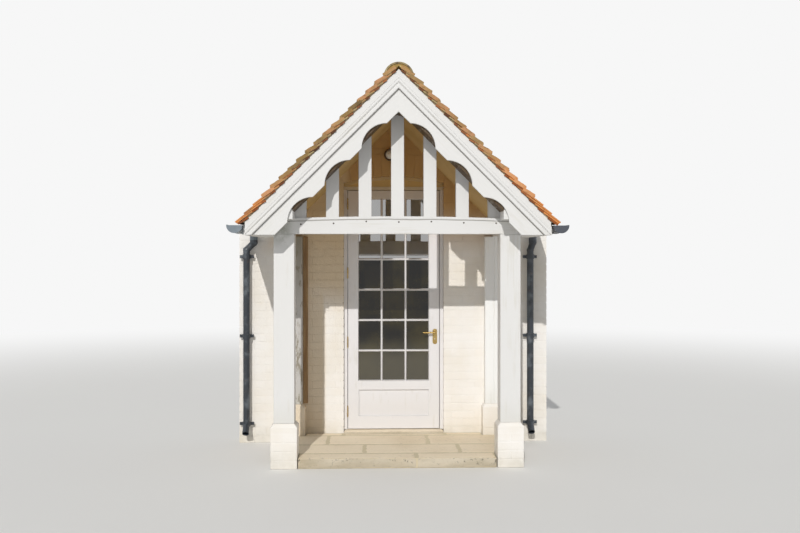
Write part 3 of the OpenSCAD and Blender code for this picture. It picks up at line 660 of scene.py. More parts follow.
# %% Brick paint
def brick_paint():
    """Cream masonry paint, with a warm painted shade under the roof and beside the left wall post.
    """
    paint = Finish("painted brick", 0.7)
    coat = paint.blend(paint.patches(1.6, 6, 0.35, 0.75), "#f1eeea", "#e7e0d4")
    coat = paint.stain(coat, paint.attribute("tone"), 0.12, "#ddd2bf")
    coat = paint.stain(coat, paint.patches(14, 6, 0.66, 0.74, 0.7), 0.3, "#c8b9a2")
    # Painted warm shade on the wall under the ceiling.
    under = paint.plus(paint.axis("X", True), paint.axis("Z"))
    sheltered_shade = paint.times(paint.between(under, apex_z - 0.10, apex_z - 0.24),
                            paint.along("Z", 1.75, 2.35), paint.along("Y", 0.09, 0.03))
    coat = paint.stain(coat, sheltered_shade, 0.88, "#b9882f")
    # Painted warm shade beside the left wall post, and high on the wall left of the doorway.
    corner = paint.times(paint.along("X", -0.64, -0.70), 0.8)
    upper = paint.times(paint.along("X", -0.40, -0.50), paint.along("Z", 1.15, 1.6))
    dim_shade = paint.times(paint.most(corner, upper), paint.along("X", -0.98, -0.95),
                      paint.along("Y", -0.5, -0.4))
    coat = paint.stain(coat, dim_shade, 0.8, "#d5be98")
    mottle = paint.times(paint.along("Z", 0.25, 0.0), paint.noise(9, 5))
    paint.paint(paint.stain(coat, mottle, 0.6, "#a79f86"))
    paint.grain(70, 5, 0.003, 0.6, 0.65)
    paint.grain(16, 3, 0.006, 0.5)
    return paint.material


brick_finish = brick_paint()

# %% Brick sizes
COURSE = 75 * MM
JOINT = 9 * MM
BRICK = 215 * MM
HALF = 102.5 * MM
PERPEND = 3 * MM
PROUD = 4 * MM
unit_block = box_shape("unit_block", (-0.5, -0.5, -0.5), (0.5, 0.5, 0.5))


def block(low, high):
    """A place for the laying tree: a block between two corners."""
    low, high = Vector(low), Vector(high)
    return ((low + high) / 2, high - low, NO_TURN)


# %% [markdown]
# The wall piece has three parts: left and right of the doorway, and the spandrel over the arch.
# Courses of stretchers break joint by half a brick. The sloping top and the arch are then cut
# through whole bricks with a Boolean, as a bricklayer's bolster does, and the arch itself is a
# ring of bricks on end whose joints point to one centre.


# %% Wall courses
def wall_courses(low_x, high_x, low_z, high_z):
    places = []
    pace = BRICK + JOINT
    for level in range(math.floor(low_z / COURSE), math.ceil(high_z / COURSE)):
        bottom = max(level * COURSE, low_z)
        top = min((level + 1) * COURSE - JOINT, high_z)
        start = math.floor(low_x / pace) * pace - (pace / 2 if level % 2 else 0)
        while start < high_x:
            left = max(start, low_x)
            right = min(start + pace - PERPEND, high_x)
            if right - left > JOINT and top - bottom > JOINT:
                places.append(block((left, 0, bottom), (right, HALF, top)))
            start += pace
    return places


wall_top = head_high.z
arch_bottom = head_low.z
arch_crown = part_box("frame_head")[1].z
arch_rise = arch_crown - arch_bottom
arch_radius = (opening_half ** 2 + arch_rise ** 2) / (2 * arch_rise)
arch_centre = Vector((0, 0, arch_crown - arch_radius))
arch_angle = math.asin(opening_half / arch_radius)
print("arch radius", round(arch_radius, 3), "over", round(math.degrees(2 * arch_angle), 1), "deg")


# %% Arch tools
def on_arch(turn, radius, y):
    """A point of the arch, by its angle from the crown, its radius and its depth."""
    return arch_centre + Vector((math.sin(turn), 0, math.cos(turn))) * radius + Vector((0, y, 0))


def ring_sector(name, inner, outer, angle, low_y, high_y, steps=24):
    """A solid piece of the arch ring between two radii."""
    corners = ((inner, low_y), (inner, high_y), (outer, high_y), (outer, low_y))
    points = [on_arch(-angle + 2 * angle * step / steps, radius, y)
              for step in range(steps + 1) for radius, y in corners]
    return closed(name, points, tube_faces(4, steps + 1))


def cut(piece, tool, operation="DIFFERENCE"):
    boolean = piece.modifiers.new("cut", "BOOLEAN")
    boolean.operation = operation
    boolean.solver = "EXACT"
    boolean.object = tool


# %% Wall bricks
# The cutting shapes reach past the bricks by a few of these.
CLEAR = 0.1
reach = wall_half + 2 * CLEAR
under_gable = prism("gable_cut", [(-reach, -CLEAR), (reach, -CLEAR), (reach, wall_top - reach),
                                  (0, wall_top), (-reach, wall_top - reach)], -CLEAR, 4 * CLEAR)
arch_ring = ring_sector("arch_cut", arch_radius - 5 * CLEAR, arch_radius + BRICK + JOINT,
                        arch_angle + 0.25 * MM / arch_radius, -CLEAR / 2, 3 * CLEAR)
wall_places = (wall_courses(-wall_half, -opening_half, 0, wall_top)
               + wall_courses(opening_half, wall_half, 0, wall_top)
               + wall_courses(-opening_half, opening_half, arch_bottom, wall_top))
bricks = lay("wall_bricks", unit_block, wall_places, brick_finish, 3)
cut(bricks, under_gable, "INTERSECT")
cut(bricks, arch_ring)
finish_piece(soften(settle(bricks), 2.5 * MM), brick_finish)


# %% Arch bricks
def arch_bricks():
    count = round(2 * arch_angle * arch_radius / COURSE)
    step = 2 * arch_angle / count
    half = step / 2 - JOINT / 2 / arch_radius
    points, faces = [], []
    for i in range(count):
        middle = -arch_angle + (i + 0.5) * step
        faces += tube_faces(4, first=len(points))
        points += [on_arch(turn, radius, y) for y in (0, HALF) for turn, radius in (
            (middle - half, arch_radius), (middle + half, arch_radius),
            (middle + half, arch_radius + BRICK), (middle - half, arch_radius + BRICK))]
    return closed("arch_bricks", points, faces)


finish_piece(soften(arch_bricks(), 3 * MM), brick_finish)

# %% [markdown]
# Behind the bricks lies the rest of the wall: one solid, a few millimetres back from every brick
# face, that shows as the joints, and as plaster on the inside.


# %% Wall backing
def plaster():
    paint = Finish("plaster", 0.8)
    paint.paint(paint.blend(paint.patches(1.3, 5, 0.4, 0.8), "#ece6da", "#ddd3c1"))
    paint.grain(40, 5, 0.002, 0.6)
    paint.grain(5, 2, 0.008, 0.4)
    return paint.material


def wall_backing():
    piece = clean_copy("wall_backing", "wall_left")
    others = [clean_copy("joined_" + node, node) for node in ("wall_right", "wall_over_door")]
    for other in others:
        cut(piece, other, "UNION")
    settle(piece)
    for other in others:
        bpy.data.objects.remove(other)
    shape = bmesh.new()
    shape.from_mesh(piece.data)
    merge_flat(shape, 0.05 * MM)
    for vertex in shape.verts:
        point = vertex.co
        if point.y < MM:
            point.y = PROUD
        if abs(abs(point.x) - wall_half) < MM:
            point.x -= math.copysign(PROUD, point.x)
        if abs(point.x) < opening_half + MM and point.z < arch_crown + MM:
            point.z += PROUD if point.z > arch_bottom - MM else 0
            if abs(abs(point.x) - opening_half) < MM:
                point.x += math.copysign(PROUD, point.x)
        elif point.z > wall_top - wall_half - 50 * MM:
            point.z -= PROUD
    shape.to_mesh(piece.data)
    shape.free()
    return piece


backing = soften(wall_backing(), MM, 1)
finish_piece(backing, brick_finish, ["wall_left", "wall_right", "wall_over_door"])
backing.data.materials.append(plaster())
for face in backing.data.polygons:
    face.material_index = int(face.center.y > wall_high.y - MM)


# %% [markdown]
# ## Piers
# Each pier is one brick square. One course shows two bricks side by side and the next is turned
# by a quarter, and a sloping cap of cement sheds the rain from the foot of the post.


# %% Pier bricks
PIER_STRAIGHT = 0.35


def pier_places(node):
    """Courses of two bricks, beside each other and behind each other in turn."""
    low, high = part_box(node)
    middle = (low + high) / 2
    places = []
    for level in range(math.ceil(PIER_STRAIGHT / COURSE)):
        bottom = level * COURSE
        upper = min(bottom + COURSE - JOINT, low.z + PIER_STRAIGHT)
        if level % 2:
            split = [(low.x, middle.x - PERPEND / 2, low.y, high.y),
                     (middle.x + PERPEND / 2, high.x, low.y, high.y)]
        elif high.y - low.y > BRICK:
            split = [(low.x, high.x, low.y, middle.y - PERPEND / 2),
                     (low.x, high.x, middle.y + PERPEND / 2, high.y)]
        else:
            split = [(low.x, high.x, low.y, high.y)]
        places += [block((left, front, bottom), (right, back, upper))
                   for left, right, front, back in split]
    return places


pier_nodes = ["pier_front_left", "pier_front_right", "pier_back_left", "pier_back_right"]
all_pier_places = [place for node in pier_nodes for place in pier_places(node)]
pier_bricks = settle(lay("pier_bricks", unit_block, all_pier_places, brick_finish, 11))
finish_piece(soften(pier_bricks, 4 * MM), brick_finish)
pier_cores = clean_copy("pier_caps", *pier_nodes)
centres = [sum(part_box(node), Vector()) / 2 for node in pier_nodes]
for vertex in pier_cores.data.vertices:
    if vertex.co.z < 10 * MM:
        nearest = min(centres, key=lambda centre: (centre - vertex.co).length)
        vertex.co.x += math.copysign(PROUD, nearest.x - vertex.co.x)
        vertex.co.y += math.copysign(PROUD, nearest.y - vertex.co.y)
finish_piece(soften(pier_cores, 3 * MM), brick_finish, pier_nodes)


# %% [markdown]
# ## Stone landing and sill
# The landing is laid in sawn and riven sandstone: a row of long step stones in front, then slabs
# of unequal length with narrow joints. Each stone is a box whose faces are cut into a fine net,
# rounded at the edge and worn by a slow noise, always inwards.


# %% Stone and mortar finishes
land_low, land_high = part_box("landing")


def sandstone():
    """Bedded stone, paler on upward faces, with lichen that is thickest on the front riser."""
    stone = Finish("sandstone", 0.85)
    beds = stone.noise(3.0, 6, stone.placed((1, 2.2, 3)))
    body = stone.ramp(beds, [(0.25, "#aca089"), (0.45, "#bfb49f"), (0.6, "#cbc0ac"),
                             (0.8, "#b7ab96")])
    facing = stone.add("ShaderNodeNewGeometry").outputs["Normal"]
    upward = stone.add("ShaderNodeSeparateXYZ", {0: facing}).outputs["Z"]
    # Upward faces are paler.
    body = stone.stain(body, stone.between(upward, 0.3, 0.9), 0.9, "#f3e4ca")
    body = stone.stain(body, stone.patches(1.4, 4, 0.45, 0.75), 0.35, "#bfa67e")
    body = stone.stain(body, stone.patches(45, 6, 0.55, 0.72, 0.75), 0.35, "#8c8470")
    lichen = stone.patches(26, 5, 0.56, 0.66, 0.7)
    colonies = stone.times(stone.patches(3.1, 3, 0.46, 0.62), 0.3)
    riser = stone.times(stone.along("Y", land_low.y + 0.05, land_low.y + 0.01),
                        stone.along("Z", 0.0, 0.06))
    spots = stone.times(lichen, stone.most(colonies, riser))
    stone.paint(stone.stain(body, spots, 0.8, "#4f4d44"))
    stone.grain(55, 6, 0.003, 0.7, 0.65)
    stone.bump(beds, 0.006, 0.5)
    return stone.material


def mortar():
    """Sand and lime, as gritty as it looks."""
    mix = Finish("mortar", 0.95)
    grit = mix.noise(130, 4)
    mix.paint(mix.blend(grit, "#ddd1b6", "#c6b999"))
    mix.bump(grit, 0.002, 0.8)
    mix.grain(20, 3, 0.006, 0.6)
    return mix.material


def lichened_mortar():
    """The same under years of moss and pale lichen, as on the ridge."""
    mix = Finish("lichened mortar", 0.95)
    body = mix.blend(mix.noise(90, 5), "#a3824f", "#c09a57")
    body = mix.stain(body, mix.patches(20, 5, 0.45, 0.62), 0.55, "#857740")
    mix.paint(mix.stain(body, mix.patches(33, 4, 0.60, 0.68), 0.6, "#ded39c"))
    mix.grain(60, 4, 0.006, 0.9)
    mix.grain(16, 3, 0.012, 0.8)
    return mix.material


stone_finish = sandstone()
mortar_finish = mortar()


# %% Worn stones
NET = 30 * MM
WORN_EDGE = 12 * MM
WEAR = 3.5 * MM
SLOW = 7
FINE = 4.4


def rough_box(points, faces, low, high, seed):
    """Adds one worn stone: a box of small faces, pulled inwards by a slow noise."""
    counts = [max(2, round((high[i] - low[i]) / NET)) for i in range(3)]
    found = {}

    def corner(at):
        if at not in found:
            found[at] = len(points)
            points.append(worn(at))
        return found[at]

    def worn(at):
        point = Vector([low[i] + (high[i] - low[i]) * at[i] / counts[i] for i in range(3)])
        where = point * SLOW + Vector((seed * 3.7, seed * 1.3, seed * 2.1))
        fine = 0.5 + 0.5 * noise.noise(where * FINE)
        sink = WEAR * (0.75 * (0.5 + 0.5 * noise.noise(where)) + 0.25 * fine)
        rims = sum(at[i] in (0, counts[i]) for i in range(3))
        for i in range(3):
            if at[i] in (0, counts[i]):
                inward = 1 if at[i] == 0 else -1
                point[i] += inward * (sink + (WORN_EDGE * (0.2 + 0.4 * fine) if rims > 1 else 0))
        return point

    for axis in range(3):
        across, along = (axis + 1) % 3, (axis + 2) % 3
        for end in (0, counts[axis]):
            for i in range(counts[across]):
                for j in range(counts[along]):
                    ring = []
                    for di, dj in ((0, 0), (1, 0), (1, 1), (0, 1)):
                        at = [0, 0, 0]
                        at[axis], at[across], at[along] = end, i + di, j + dj
                        ring.append(corner(tuple(at)))
                    faces.append(ring if end else ring[::-1])


def stones(name, boxes, node, seed, gap=2.5 * MM):
    """Worn stones between the corners of each box, with a narrow joint between them."""
    points, faces = [], []
    inset = Vector((gap / 2, gap / 2, 0))
    for index, (low, high) in enumerate(boxes):
        rough_box(points, faces, Vector(low) + inset, Vector(high) - inset, seed + index)
    piece = from_lists(name, points, faces)
    smooth_between(piece, 50)
    return finish_piece(piece, stone_finish, [node])


# %% Landing stones
# Each row of stones: its front, its back, and where its upright joints lie.
sill_low, sill_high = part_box("door_sill")
pier_low, pier_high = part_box("pier_front_right")
plinth_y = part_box("pier_back_right")[0].y
top = land_high.z
step_back = pier_high.y
MIDDLE_JOINT = -0.56
side = land_high.x
inner = pier_low.x
rows = [
    (land_low.y, step_back, [-inner, 0.163, inner]),
    (step_back, MIDDLE_JOINT, [-side, -0.28, 0.56, side]),
    (MIDDLE_JOINT, plinth_y, [-side, -0.62, 0.303, side]),
]
landing_boxes = [((left, front, 0), (right, back, top))
                 for front, back, marks in rows for left, right in zip(marks, marks[1:])]
landing_boxes.append(((-inner, plinth_y, 0), (-opening_half, 0, top)))
landing_boxes.append(((opening_half, plinth_y, 0), (inner, 0, top)))
landing_boxes.append(((-opening_half, plinth_y, 0), (opening_half, sill_low.y, top)))
stones("landing_stones", landing_boxes, "landing", 5)
sill_box = ((-opening_half, sill_low.y, 0), (opening_half, sill_high.y, sill_high.z))
stones("sill_stone", [sill_box], "door_sill", 31, gap=0)

# %% Landing bed
BED_DROP = 4.5 * MM
bed_points, bed_faces = [], []
for half, front, back in ((inner - 10 * MM, land_low.y + 12 * MM, step_back),
                          (side - 12 * MM, step_back, plinth_y),
                          (inner - 10 * MM, plinth_y, -MM)):
    bed_faces += tube_faces(4, first=len(bed_points))
    bed_points += [(x, y, z) for y in (front, back) for x, z in (
        (-half, MM), (half, MM), (half, top - BED_DROP), (-half, top - BED_DROP))]
finish_piece(closed("landing_bed", bed_points, bed_faces), mortar_finish)


# %% [markdown]
# ## Clay tiles
# Plain tiles are about 165 by 265 mm and 12 mm thick, a little domed because they shrink in the
# kiln. Each course laps two below, so a tile lies flatter than the roof, and the verge shows
# three tiles one on another. Moss and lichen cover the upper courses, while the lowest stay orange.


# %% Tile finish
def eaves_glow(clay):
    """Rain keeps the lowest courses of the verge clean and bright, most on the right slope."""
    height = clay.less(clay.axis("Z"), clay.times(clay.axis("X"), 0.12))
    share = clay.plus(clay.times(clay.patches(12, 4, 0.36, 0.52), 0.45), 0.33)
    return clay.times(clay.between(height, 2.66, 2.34), share)


def tile_finish(name, mossy):
    """Fired clay from brown to orange, with moss, lichen and soot, and a crust at the verge."""
    clay = Finish(name, 0.85)
    mixed = clay.plus(clay.times(clay.attribute("tone"), 0.75), clay.times(clay.noise(6, 4), 0.3))
    body = clay.ramp(mixed, [(0.15, "#5c4a40"), (0.30, "#7d5640"), (0.45, "#8d6247"),
                             (0.60, "#a8663d"), (0.75, "#c4733c"), (0.90, "#d98445")])
    growth = clay.along("Z", 2.05, 2.75)
    body = clay.stain(body, clay.patches(11, 6, 0.40, 0.60, 0.65),
                      clay.plus(clay.times(growth, 0.55), mossy), "#86794a")
    verge = clay.along("Y", verge_y + 0.016, verge_y + 0.004)
    body = clay.stain(body, clay.times(verge, clay.patches(24, 4, 0.36, 0.56)),
                      clay.plus(clay.times(growth, 0.45), 0.45), "#a5946a")
    body = clay.stain(body, verge, eaves_glow(clay), "#dd8b46")
    body = clay.stain(body, clay.patches(38, 4, 0.63, 0.70, 0.6), 0.7, "#cfc49a")
    clay.paint(clay.stain(body, clay.patches(17, 5, 0.58, 0.72), 0.55, "#4a3a2b"))
    clay.grain(90, 5, 0.003, 0.8, 0.7)
    clay.grain(18, 4, 0.006, 0.6)
    return clay.material


clay_finish = tile_finish("clay tile", 0.20)
ridge_finish = tile_finish("ridge clay", 0.12)

# %% Tile shape
TILE_LENGTH = 265 * MM
TILE_WIDTH = 162.5 * MM
TILE_THICK = 12 * MM
TILE_GAUGE = 100 * MM
TILE_LIFT = 15 * MM
TILE_BUILD = 62 * MM
TILE_GAP = 2 * MM
RIDGE_BED = 60 * MM
tile_lean = math.asin(TILE_LIFT / TILE_GAUGE)


def tile_shape(columns=4, rows_up=4):
    """One tile, one unit wide, domed both ways, tail at the origin and head up the Y axis."""
    points, faces = [], []
    for level in (0, 1):
        for j in range(rows_up + 1):
            for i in range(columns + 1):
                x, y = i / columns - 0.5, j / rows_up
                dome = 2.5 * MM * (1 - 4 * (y - 0.5) ** 2) + 1.5 * MM * (1 - 4 * x ** 2)
                points.append((x, y * TILE_LENGTH, level * TILE_THICK + dome - 3 * MM))
    width = columns + 1
    layer = width * (rows_up + 1)
    for j in range(rows_up):
        for i in range(columns):
            a = j * width + i
            faces.append((a, a + width, a + width + 1, a + 1))
            faces.append((layer + a, layer + a + 1, layer + a + width + 1, layer + a + width))
    rim = ([i for i in range(columns)] + [columns + j * width for j in range(rows_up)]
           + [rows_up * width + columns - i for i in range(columns)]
           + [(rows_up - j) * width for j in range(rows_up)])
    for a, b in zip(rim, rim[1:] + rim[:1]):
        faces.append((a, b, layer + b, layer + a))
    return from_lists("tile_shape", points, faces)


# %% Tile places
DOWN = Vector((math.cos(pitch), 0, -math.sin(pitch)))
OUT = Vector((math.sin(pitch), 0, math.cos(pitch)))
tile_run = (tile_tip - TILE_BUILD * math.sin(pitch)) / math.cos(pitch)
roof_length = -verge_y


def on_roof(side, run, height):
    """X and Z of a point by its distance down the slope and its height over it."""
    spot = Vector((0, 0, apex_z)) + DOWN * run + OUT * height
    return (side * spot.x, spot.z)


def tile_turn(side):
    """The turn that lays a tile on the right (1) or left (-1) slope, a little flatter than it."""
    lie = pitch - tile_lean
    up = Vector((-side * math.cos(lie), 0, math.sin(lie)))
    across = Vector((0, side, 0))
    return tuple(Matrix((across, up, across.cross(up))).transposed().to_euler())


def course_places(side, run, height, length, start_wide):
    """One course from the verge to the wall, broken by half a tile on every other course."""
    places = []
    y = verge_y + 3 * MM
    widths = [1.5] if start_wide else [1]
    while sum(widths) < roof_length / TILE_WIDTH - 0.2:
        widths.append(min(1, roof_length / TILE_WIDTH - sum(widths)))
    x, z = on_roof(side, run, height)
    for wide in widths:
        size = wide * TILE_WIDTH - TILE_GAP
        places.append(((x, y + size / 2, z), (size, length, 1), tile_turn(side)))
        y += wide * TILE_WIDTH
    return places


def slope_places(side):
    """A short course under the eaves, then whole courses up to the ridge."""
    under = TILE_BUILD - 2 * TILE_THICK - 3 * MM
    places = course_places(side, tile_run - 2 * MM, under, 0.6, True)
    course = 0
    while tile_run - course * TILE_GAUGE > RIDGE_BED + TILE_GAUGE:
        run = tile_run - course * TILE_GAUGE
        length = min(1, (run - RIDGE_BED) / TILE_LENGTH)
        places += course_places(side, run, TILE_BUILD - TILE_THICK - MM, length, course % 2 == 1)
        course += 1
    return places


shape_of_tile = tile_shape()
for side, label in SIDES:
    slope = settle(lay("roof_tiles_" + label, shape_of_tile, slope_places(side), clay_finish,
                       20 + side, (0.0008, 0.0003, 0.0008), (0.006, 0.006, 0.012)))
    finish_piece(soften(slope, 1.2 * MM, 1, 50), clay_finish, ["tiles_" + label])


# %% [markdown]
# ## Verge and ridge mortar
# The verge is bedded in mortar that sits well back under the tile edges, and the half round
# ridge tiles lie in a bed that fills their front end and squeezes out along both sides.

# %% Mortar beds
VERGE_BED = 28 * MM
bed_start, bed_end = 30 * MM, tile_run - 45 * MM
for side, label in SIDES:
    corners = [on_roof(side, run, height) for run, height in (
        (bed_start, MM), (bed_end, MM), (bed_end, VERGE_BED), (bed_start, VERGE_BED))]
    bed = prism("verge_mortar_" + label, corners, verge_y + VERGE_BED, board_y + 120 * MM)
    finish_piece(bed, mortar_finish)


# %% Verge courses
def verge_clay(name, stops, clean):
    """Mortar and slips at the verge, stained by soot and washed clean near the eaves."""
    clay = Finish(name, 0.92)
    mixed = clay.plus(clay.times(clay.attribute("tone"), 0.7), clay.times(clay.noise(13, 5), 0.45))
    body = clay.ramp(mixed, stops)
    body = clay.stain(body, clay.patches(31, 5, 0.55, 0.70), 0.45, "#5d4a34")
    clay.paint(clay.blend(eaves_glow(clay), body, clean))
    clay.grain(70, 5, 0.004, 0.9, 0.65)
    return clay.material


def rounded_lump():
    """A unit block of small faces with rounded corners, about its own centre."""
    shape = bmesh.new()
    bmesh.ops.create_cube(shape, size=1)
    bmesh.ops.subdivide_edges(shape, edges=shape.edges, cuts=5, use_grid_fill=True)
    for vertex in shape.verts:
        ends = [min(1, max(0, abs(value) - 0.32) / 0.18) for value in vertex.co]
        pull = 1 - 0.07 * (sum(end ** 2 for end in ends) - max(ends) ** 2)
        vertex.co *= pull
    mesh = bpy.data.meshes.new("lump")
    shape.to_mesh(mesh)
    shape.free()
    return new_object("lump", mesh)


def verge_pieces(name, material, seed, length, thick, height, back, first):
    """Lumps along both verges, a little flatter than the roof, like the tiles above them."""
    places = []
    spread = random.Random(seed)
    lie = pitch - tile_lean - math.radians(3)
    for side, label in SIDES:
        course = first
        while tile_run - course * TILE_GAUGE > TILE_GAUGE:
            long = length * spread.uniform(0.88, 1.06)
            run = tile_run - course * TILE_GAUGE - spread.uniform(0, 7) * MM
            deep = (18 - back) * MM * spread.uniform(0.82, 1)
            size = (long, deep, thick * spread.uniform(0.82, 1.12))
            x, z = on_roof(side, run - long / 2, height)
            places.append(((x, verge_y + (1 + back) * MM + deep / 2, z), size, (0, side * lie, 0)))
            course += 1
    piece = settle(lay(name, lump, places, material, seed, (0.001, 0, 0.001), (0.03, 0.05, 0.05)))
    for vertex in piece.data.vertices:
        spot = vertex.co * 28
        vertex.co += 0.0035 * Vector((noise.noise(spot), 0, noise.noise(spot + Vector((9, 9, 9)))))
        vertex.co.y = max(vertex.co.y, verge_y + 0.5 * MM)
    piece.data.shade_smooth()
    finish_piece(piece, material)


lump = rounded_lump()
CRISP = 3
verge_top = verge_clay("verge mortar", [(0.18, "#6d5a3a"), (0.36, "#94794f"), (0.50, "#b08b5c"),
                                        (0.66, "#c08d66"), (0.84, "#8f7446")], "#dc9a68")
# The slips are clay, darkened further by a painted shade under the verge.
verge_edge_and_shade = verge_clay("verge clay", [(0.2, "#43291a"), (0.45, "#674026"), (0.7, "#845233"),
                                       (0.9, "#a3683f")], "#96501f")
verge_pieces("verge_lumps", verge_top, 41, 126 * MM, 30 * MM, 40 * MM, 0, CRISP)
verge_pieces("verge_slips", verge_edge_and_shade, 43, 112 * MM, 16 * MM, 16 * MM, 4, 0)

# %% Ridge
RIDGE_HALF = 120 * MM
RIDGE_RISE = 89 * MM
ridge_radius = (RIDGE_HALF ** 2 + RIDGE_RISE ** 2) / (2 * RIDGE_RISE)
ridge_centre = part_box("ridge_tiles")[1].z - ridge_radius
bed_finish = lichened_mortar()


def ridge_fill(name, low_y, high_y, bottom, steps=40):
    """Mortar from the roof slopes up to a circle under the ridge tiles."""
    radius = ridge_radius - 8 * MM
    outline = []
    for step in range(steps + 1):
        turn = math.radians(-100 + 200 * step / steps)
        x = radius * math.sin(turn)
        z = ridge_centre + radius * math.cos(turn)
        if z > apex_z + bottom - abs(x):
            outline.append((x, z))
    outline.append((0, apex_z + bottom))
    finish_piece(prism(name, outline, low_y, high_y), bed_finish)


ridge_fill("ridge_mortar", verge_y + 60 * MM, -2 * MM, 8 * MM)
ridge_fill("ridge_end_mortar", verge_y + 9 * MM, verge_y + 59 * MM, 25 * MM)
dress("ridge_clay", "ridge_tiles", 2.5 * MM, ridge_finish)


# %% [markdown]
# ## Ceiling boards, lead and iron
# The sloping ceiling is boarded and painted cream, shown in a warm buff that is painted shade.
# Lead weathers to a dull blue grey with pale streaks that run down the slope. The gutters and
# pipes are cast iron under black gloss paint, dusty on top and chalky where the rain dries, and
# the gutters carry a painted sheen towards the left.


# %% Other finishes
def ceiling_shade_paint():
    paint = Finish("ceiling paint", 0.65)
    # The warm buff tones are painted shade.
    paint.paint(paint.blend(paint.patches(1.7, 5, 0.35, 0.8), "#cdae76", "#ba985c"))
    paint.grain(30, 4, 0.002, 0.5)
    return paint.material


def lead_finish():
    sheet = Finish("lead", 0.55, Metallic=0.35)
    runs = sheet.noise(1.0, 5, sheet.placed((6, 30, 6)))
    patina = sheet.noise(12, 5)
    grey = sheet.blend(sheet.between(runs, 0.35, 0.7), "#777d83", "#9aa0a4")
    sheet.paint(sheet.blend(sheet.between(patina, 0.5, 0.75), grey, "#b4b6b3"))
    sheet.gloss(patina, 0.7, 0.45)
    sheet.grain(22, 3, 0.004, 0.6)
    return sheet.material


def iron_finish(name, fresh, faded, left_sheen):
    """Painted iron, dusty in patches, with a painted sheen that grows towards the left by its
    share.
    """
    iron = Finish(name, 0.35, Specular_IOR_Level=0.6)
    dust = iron.patches(9, 6, 0.48, 0.72)
    # The patches are dust; the share towards the left is a painted sheen.
    dust_and_sheen = iron.plus(iron.times(dust, 0.35), iron.times(iron.along("X", 1.2, -1.2), left_sheen))
    coat = iron.blend(dust_and_sheen, fresh, faded)
    iron.paint(iron.stain(coat, iron.patches(45, 4, 0.60, 0.70), 0.35, "#5a4031"))
    iron.gloss(dust, 0.30, 0.62)
    iron.grain(60, 3, 0.0015, 0.6)
    return iron.material


def brass_finish():
    brass = Finish("brass", 0.3, Metallic=1.0)
    tarnish = brass.patches(40, 5, 0.45, 0.72)
    brass.paint(brass.stain("#c0a46a", tarnish, 0.6, "#7d6436"))
    brass.gloss(tarnish, 0.24, 0.5)
    brass.grain(220, 2, 0.0004, 0.5)
    return brass.material


def bronze_finish():
    bronze = Finish("dark bronze", 0.45, Metallic=0.15)
    bronze.paint(bronze.blend(bronze.patches(60, 4, 0.5, 0.75), "#5c4426", "#7a5e3a"))
    bronze.grain(120, 3, 0.0006, 0.6)
    return bronze.material


def opal_finish():
    opal = Finish("opal glass", 0.2, Specular_IOR_Level=0.6)
    cloud = opal.noise(25, 3)
    opal.paint(opal.blend(cloud, "#efebe2", "#e3dccd"))
    opal.bump(cloud, 0.001, 0.3)
    return opal.material


def pane_finish():
    """Painted shade of a dark hall behind the glass; each pane leans back to mirror the sky over
    the beam.
    """
    glass = Finish("window glass", 0.02, IOR=2.6)
    # The hall's painted shade, greyer towards the bottom.
    hall_shade = glass.blend(glass.patches(2.5, 3, 0.35, 0.7), "#14110a", "#3a3316")
    glass.paint(glass.stain(hall_shade, glass.along("Z", 1.05, 0.75), 0.7, "#5d594c"))
    # Painted reflection: a band near 1.78 m is made more mirror-like.
    sky = glass.along("Z", 1.768, 1.784)
    glass.feed("Specular IOR Level", glass.plus(glass.times(sky, 0.88), 0.09))
    flat = glass.add("ShaderNodeNewGeometry").outputs["Normal"]
    leaning = glass.add("ShaderNodeVectorMath", {0: flat, 1: (0, 0, 0.076)}).outputs[0]
    glass.normal = glass.add("ShaderNodeVectorMath", {0: leaning}, operation="NORMALIZE").outputs[0]
    glass.grain(3.5, 1, 0.003, 0.12)
    return glass.material


# %% Ceiling and lead
ceiling_shade_finish = ceiling_shade_paint()
for side, label in SIDES:
    dress("ceiling_boards_" + label, "ceiling_" + label, 1.5 * MM, ceiling_shade_finish)
dress("lead_flashing", "roof_flashing", 1.2 * MM, lead_finish())

# %% [markdown]
# Pipes, gutters and fittings are right as they are: only their material changes.

# %% Solids that keep their own mesh
iron = iron_finish("black iron", "#2b3138", "#8a949c", 0.0)
# The gutters get a painted sheen towards the left.
sheened_iron = iron_finish("faded iron", "#474b54", "#8f9ba3", 0.55)
brass = brass_finish()
for material, nodes in (
        (iron, ["downpipe_left", "downpipe_right"]), (sheened_iron, ["gutter_left", "gutter_right"]),
        (brass, ["hinges_frame_side", "hinges_door_side", "handle_plates", "door_levers"]),
        (bronze_finish(), ["light_ring"]), (opal_finish(), ["light_globe"]),
        (pane_finish(), ["door_glass"])):
    for node in nodes:
        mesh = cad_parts[node].data
        mesh.materials.clear()
        mesh.materials.append(material)
    print(material.name, "on", ", ".join(nodes))

# %% [markdown]
# ## Door and door frame
# The door is joinery, planed and painted smooth, so its grain is faint. The solids already carry
# the splayed glazing bars and the raised panel, so a fine bevel is all that they need.

# %% Joinery
HEAD_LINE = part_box("door_leaf")[1].z + 40 * MM
head_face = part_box("frame_head")[0].y


def head_shade(paint):
    """Painted warm shade on the upper half of the frame head, like the wall's above it."""
    front = paint.along("Y", head_face + 20 * MM, head_face + 10 * MM)
    return paint.times(front, paint.along("Z", HEAD_LINE - MM, HEAD_LINE + MM), 0.9)


joinery_paint = timber_paint("joinery paint", (30, 30, 6), tone="#e3e1e2", warm_shade=0.5,
                             splashed=0.06)
# The frame head's beige tone is painted warm shade.
shaded_head_paint = timber_paint("frame head paint", (6, 30, 30), tone="#cfc3ad", warm_shade=0.5,
                          dirt_and_shade=head_shade, dirt_and_shade_tone="#c9a15a")
for node, paint in (("frame_jamb_left", joinery_paint), ("frame_jamb_right", joinery_paint),
                    ("frame_head", shaded_head_paint)):
    dress("joinery_" + node, node, 2 * MM, paint)

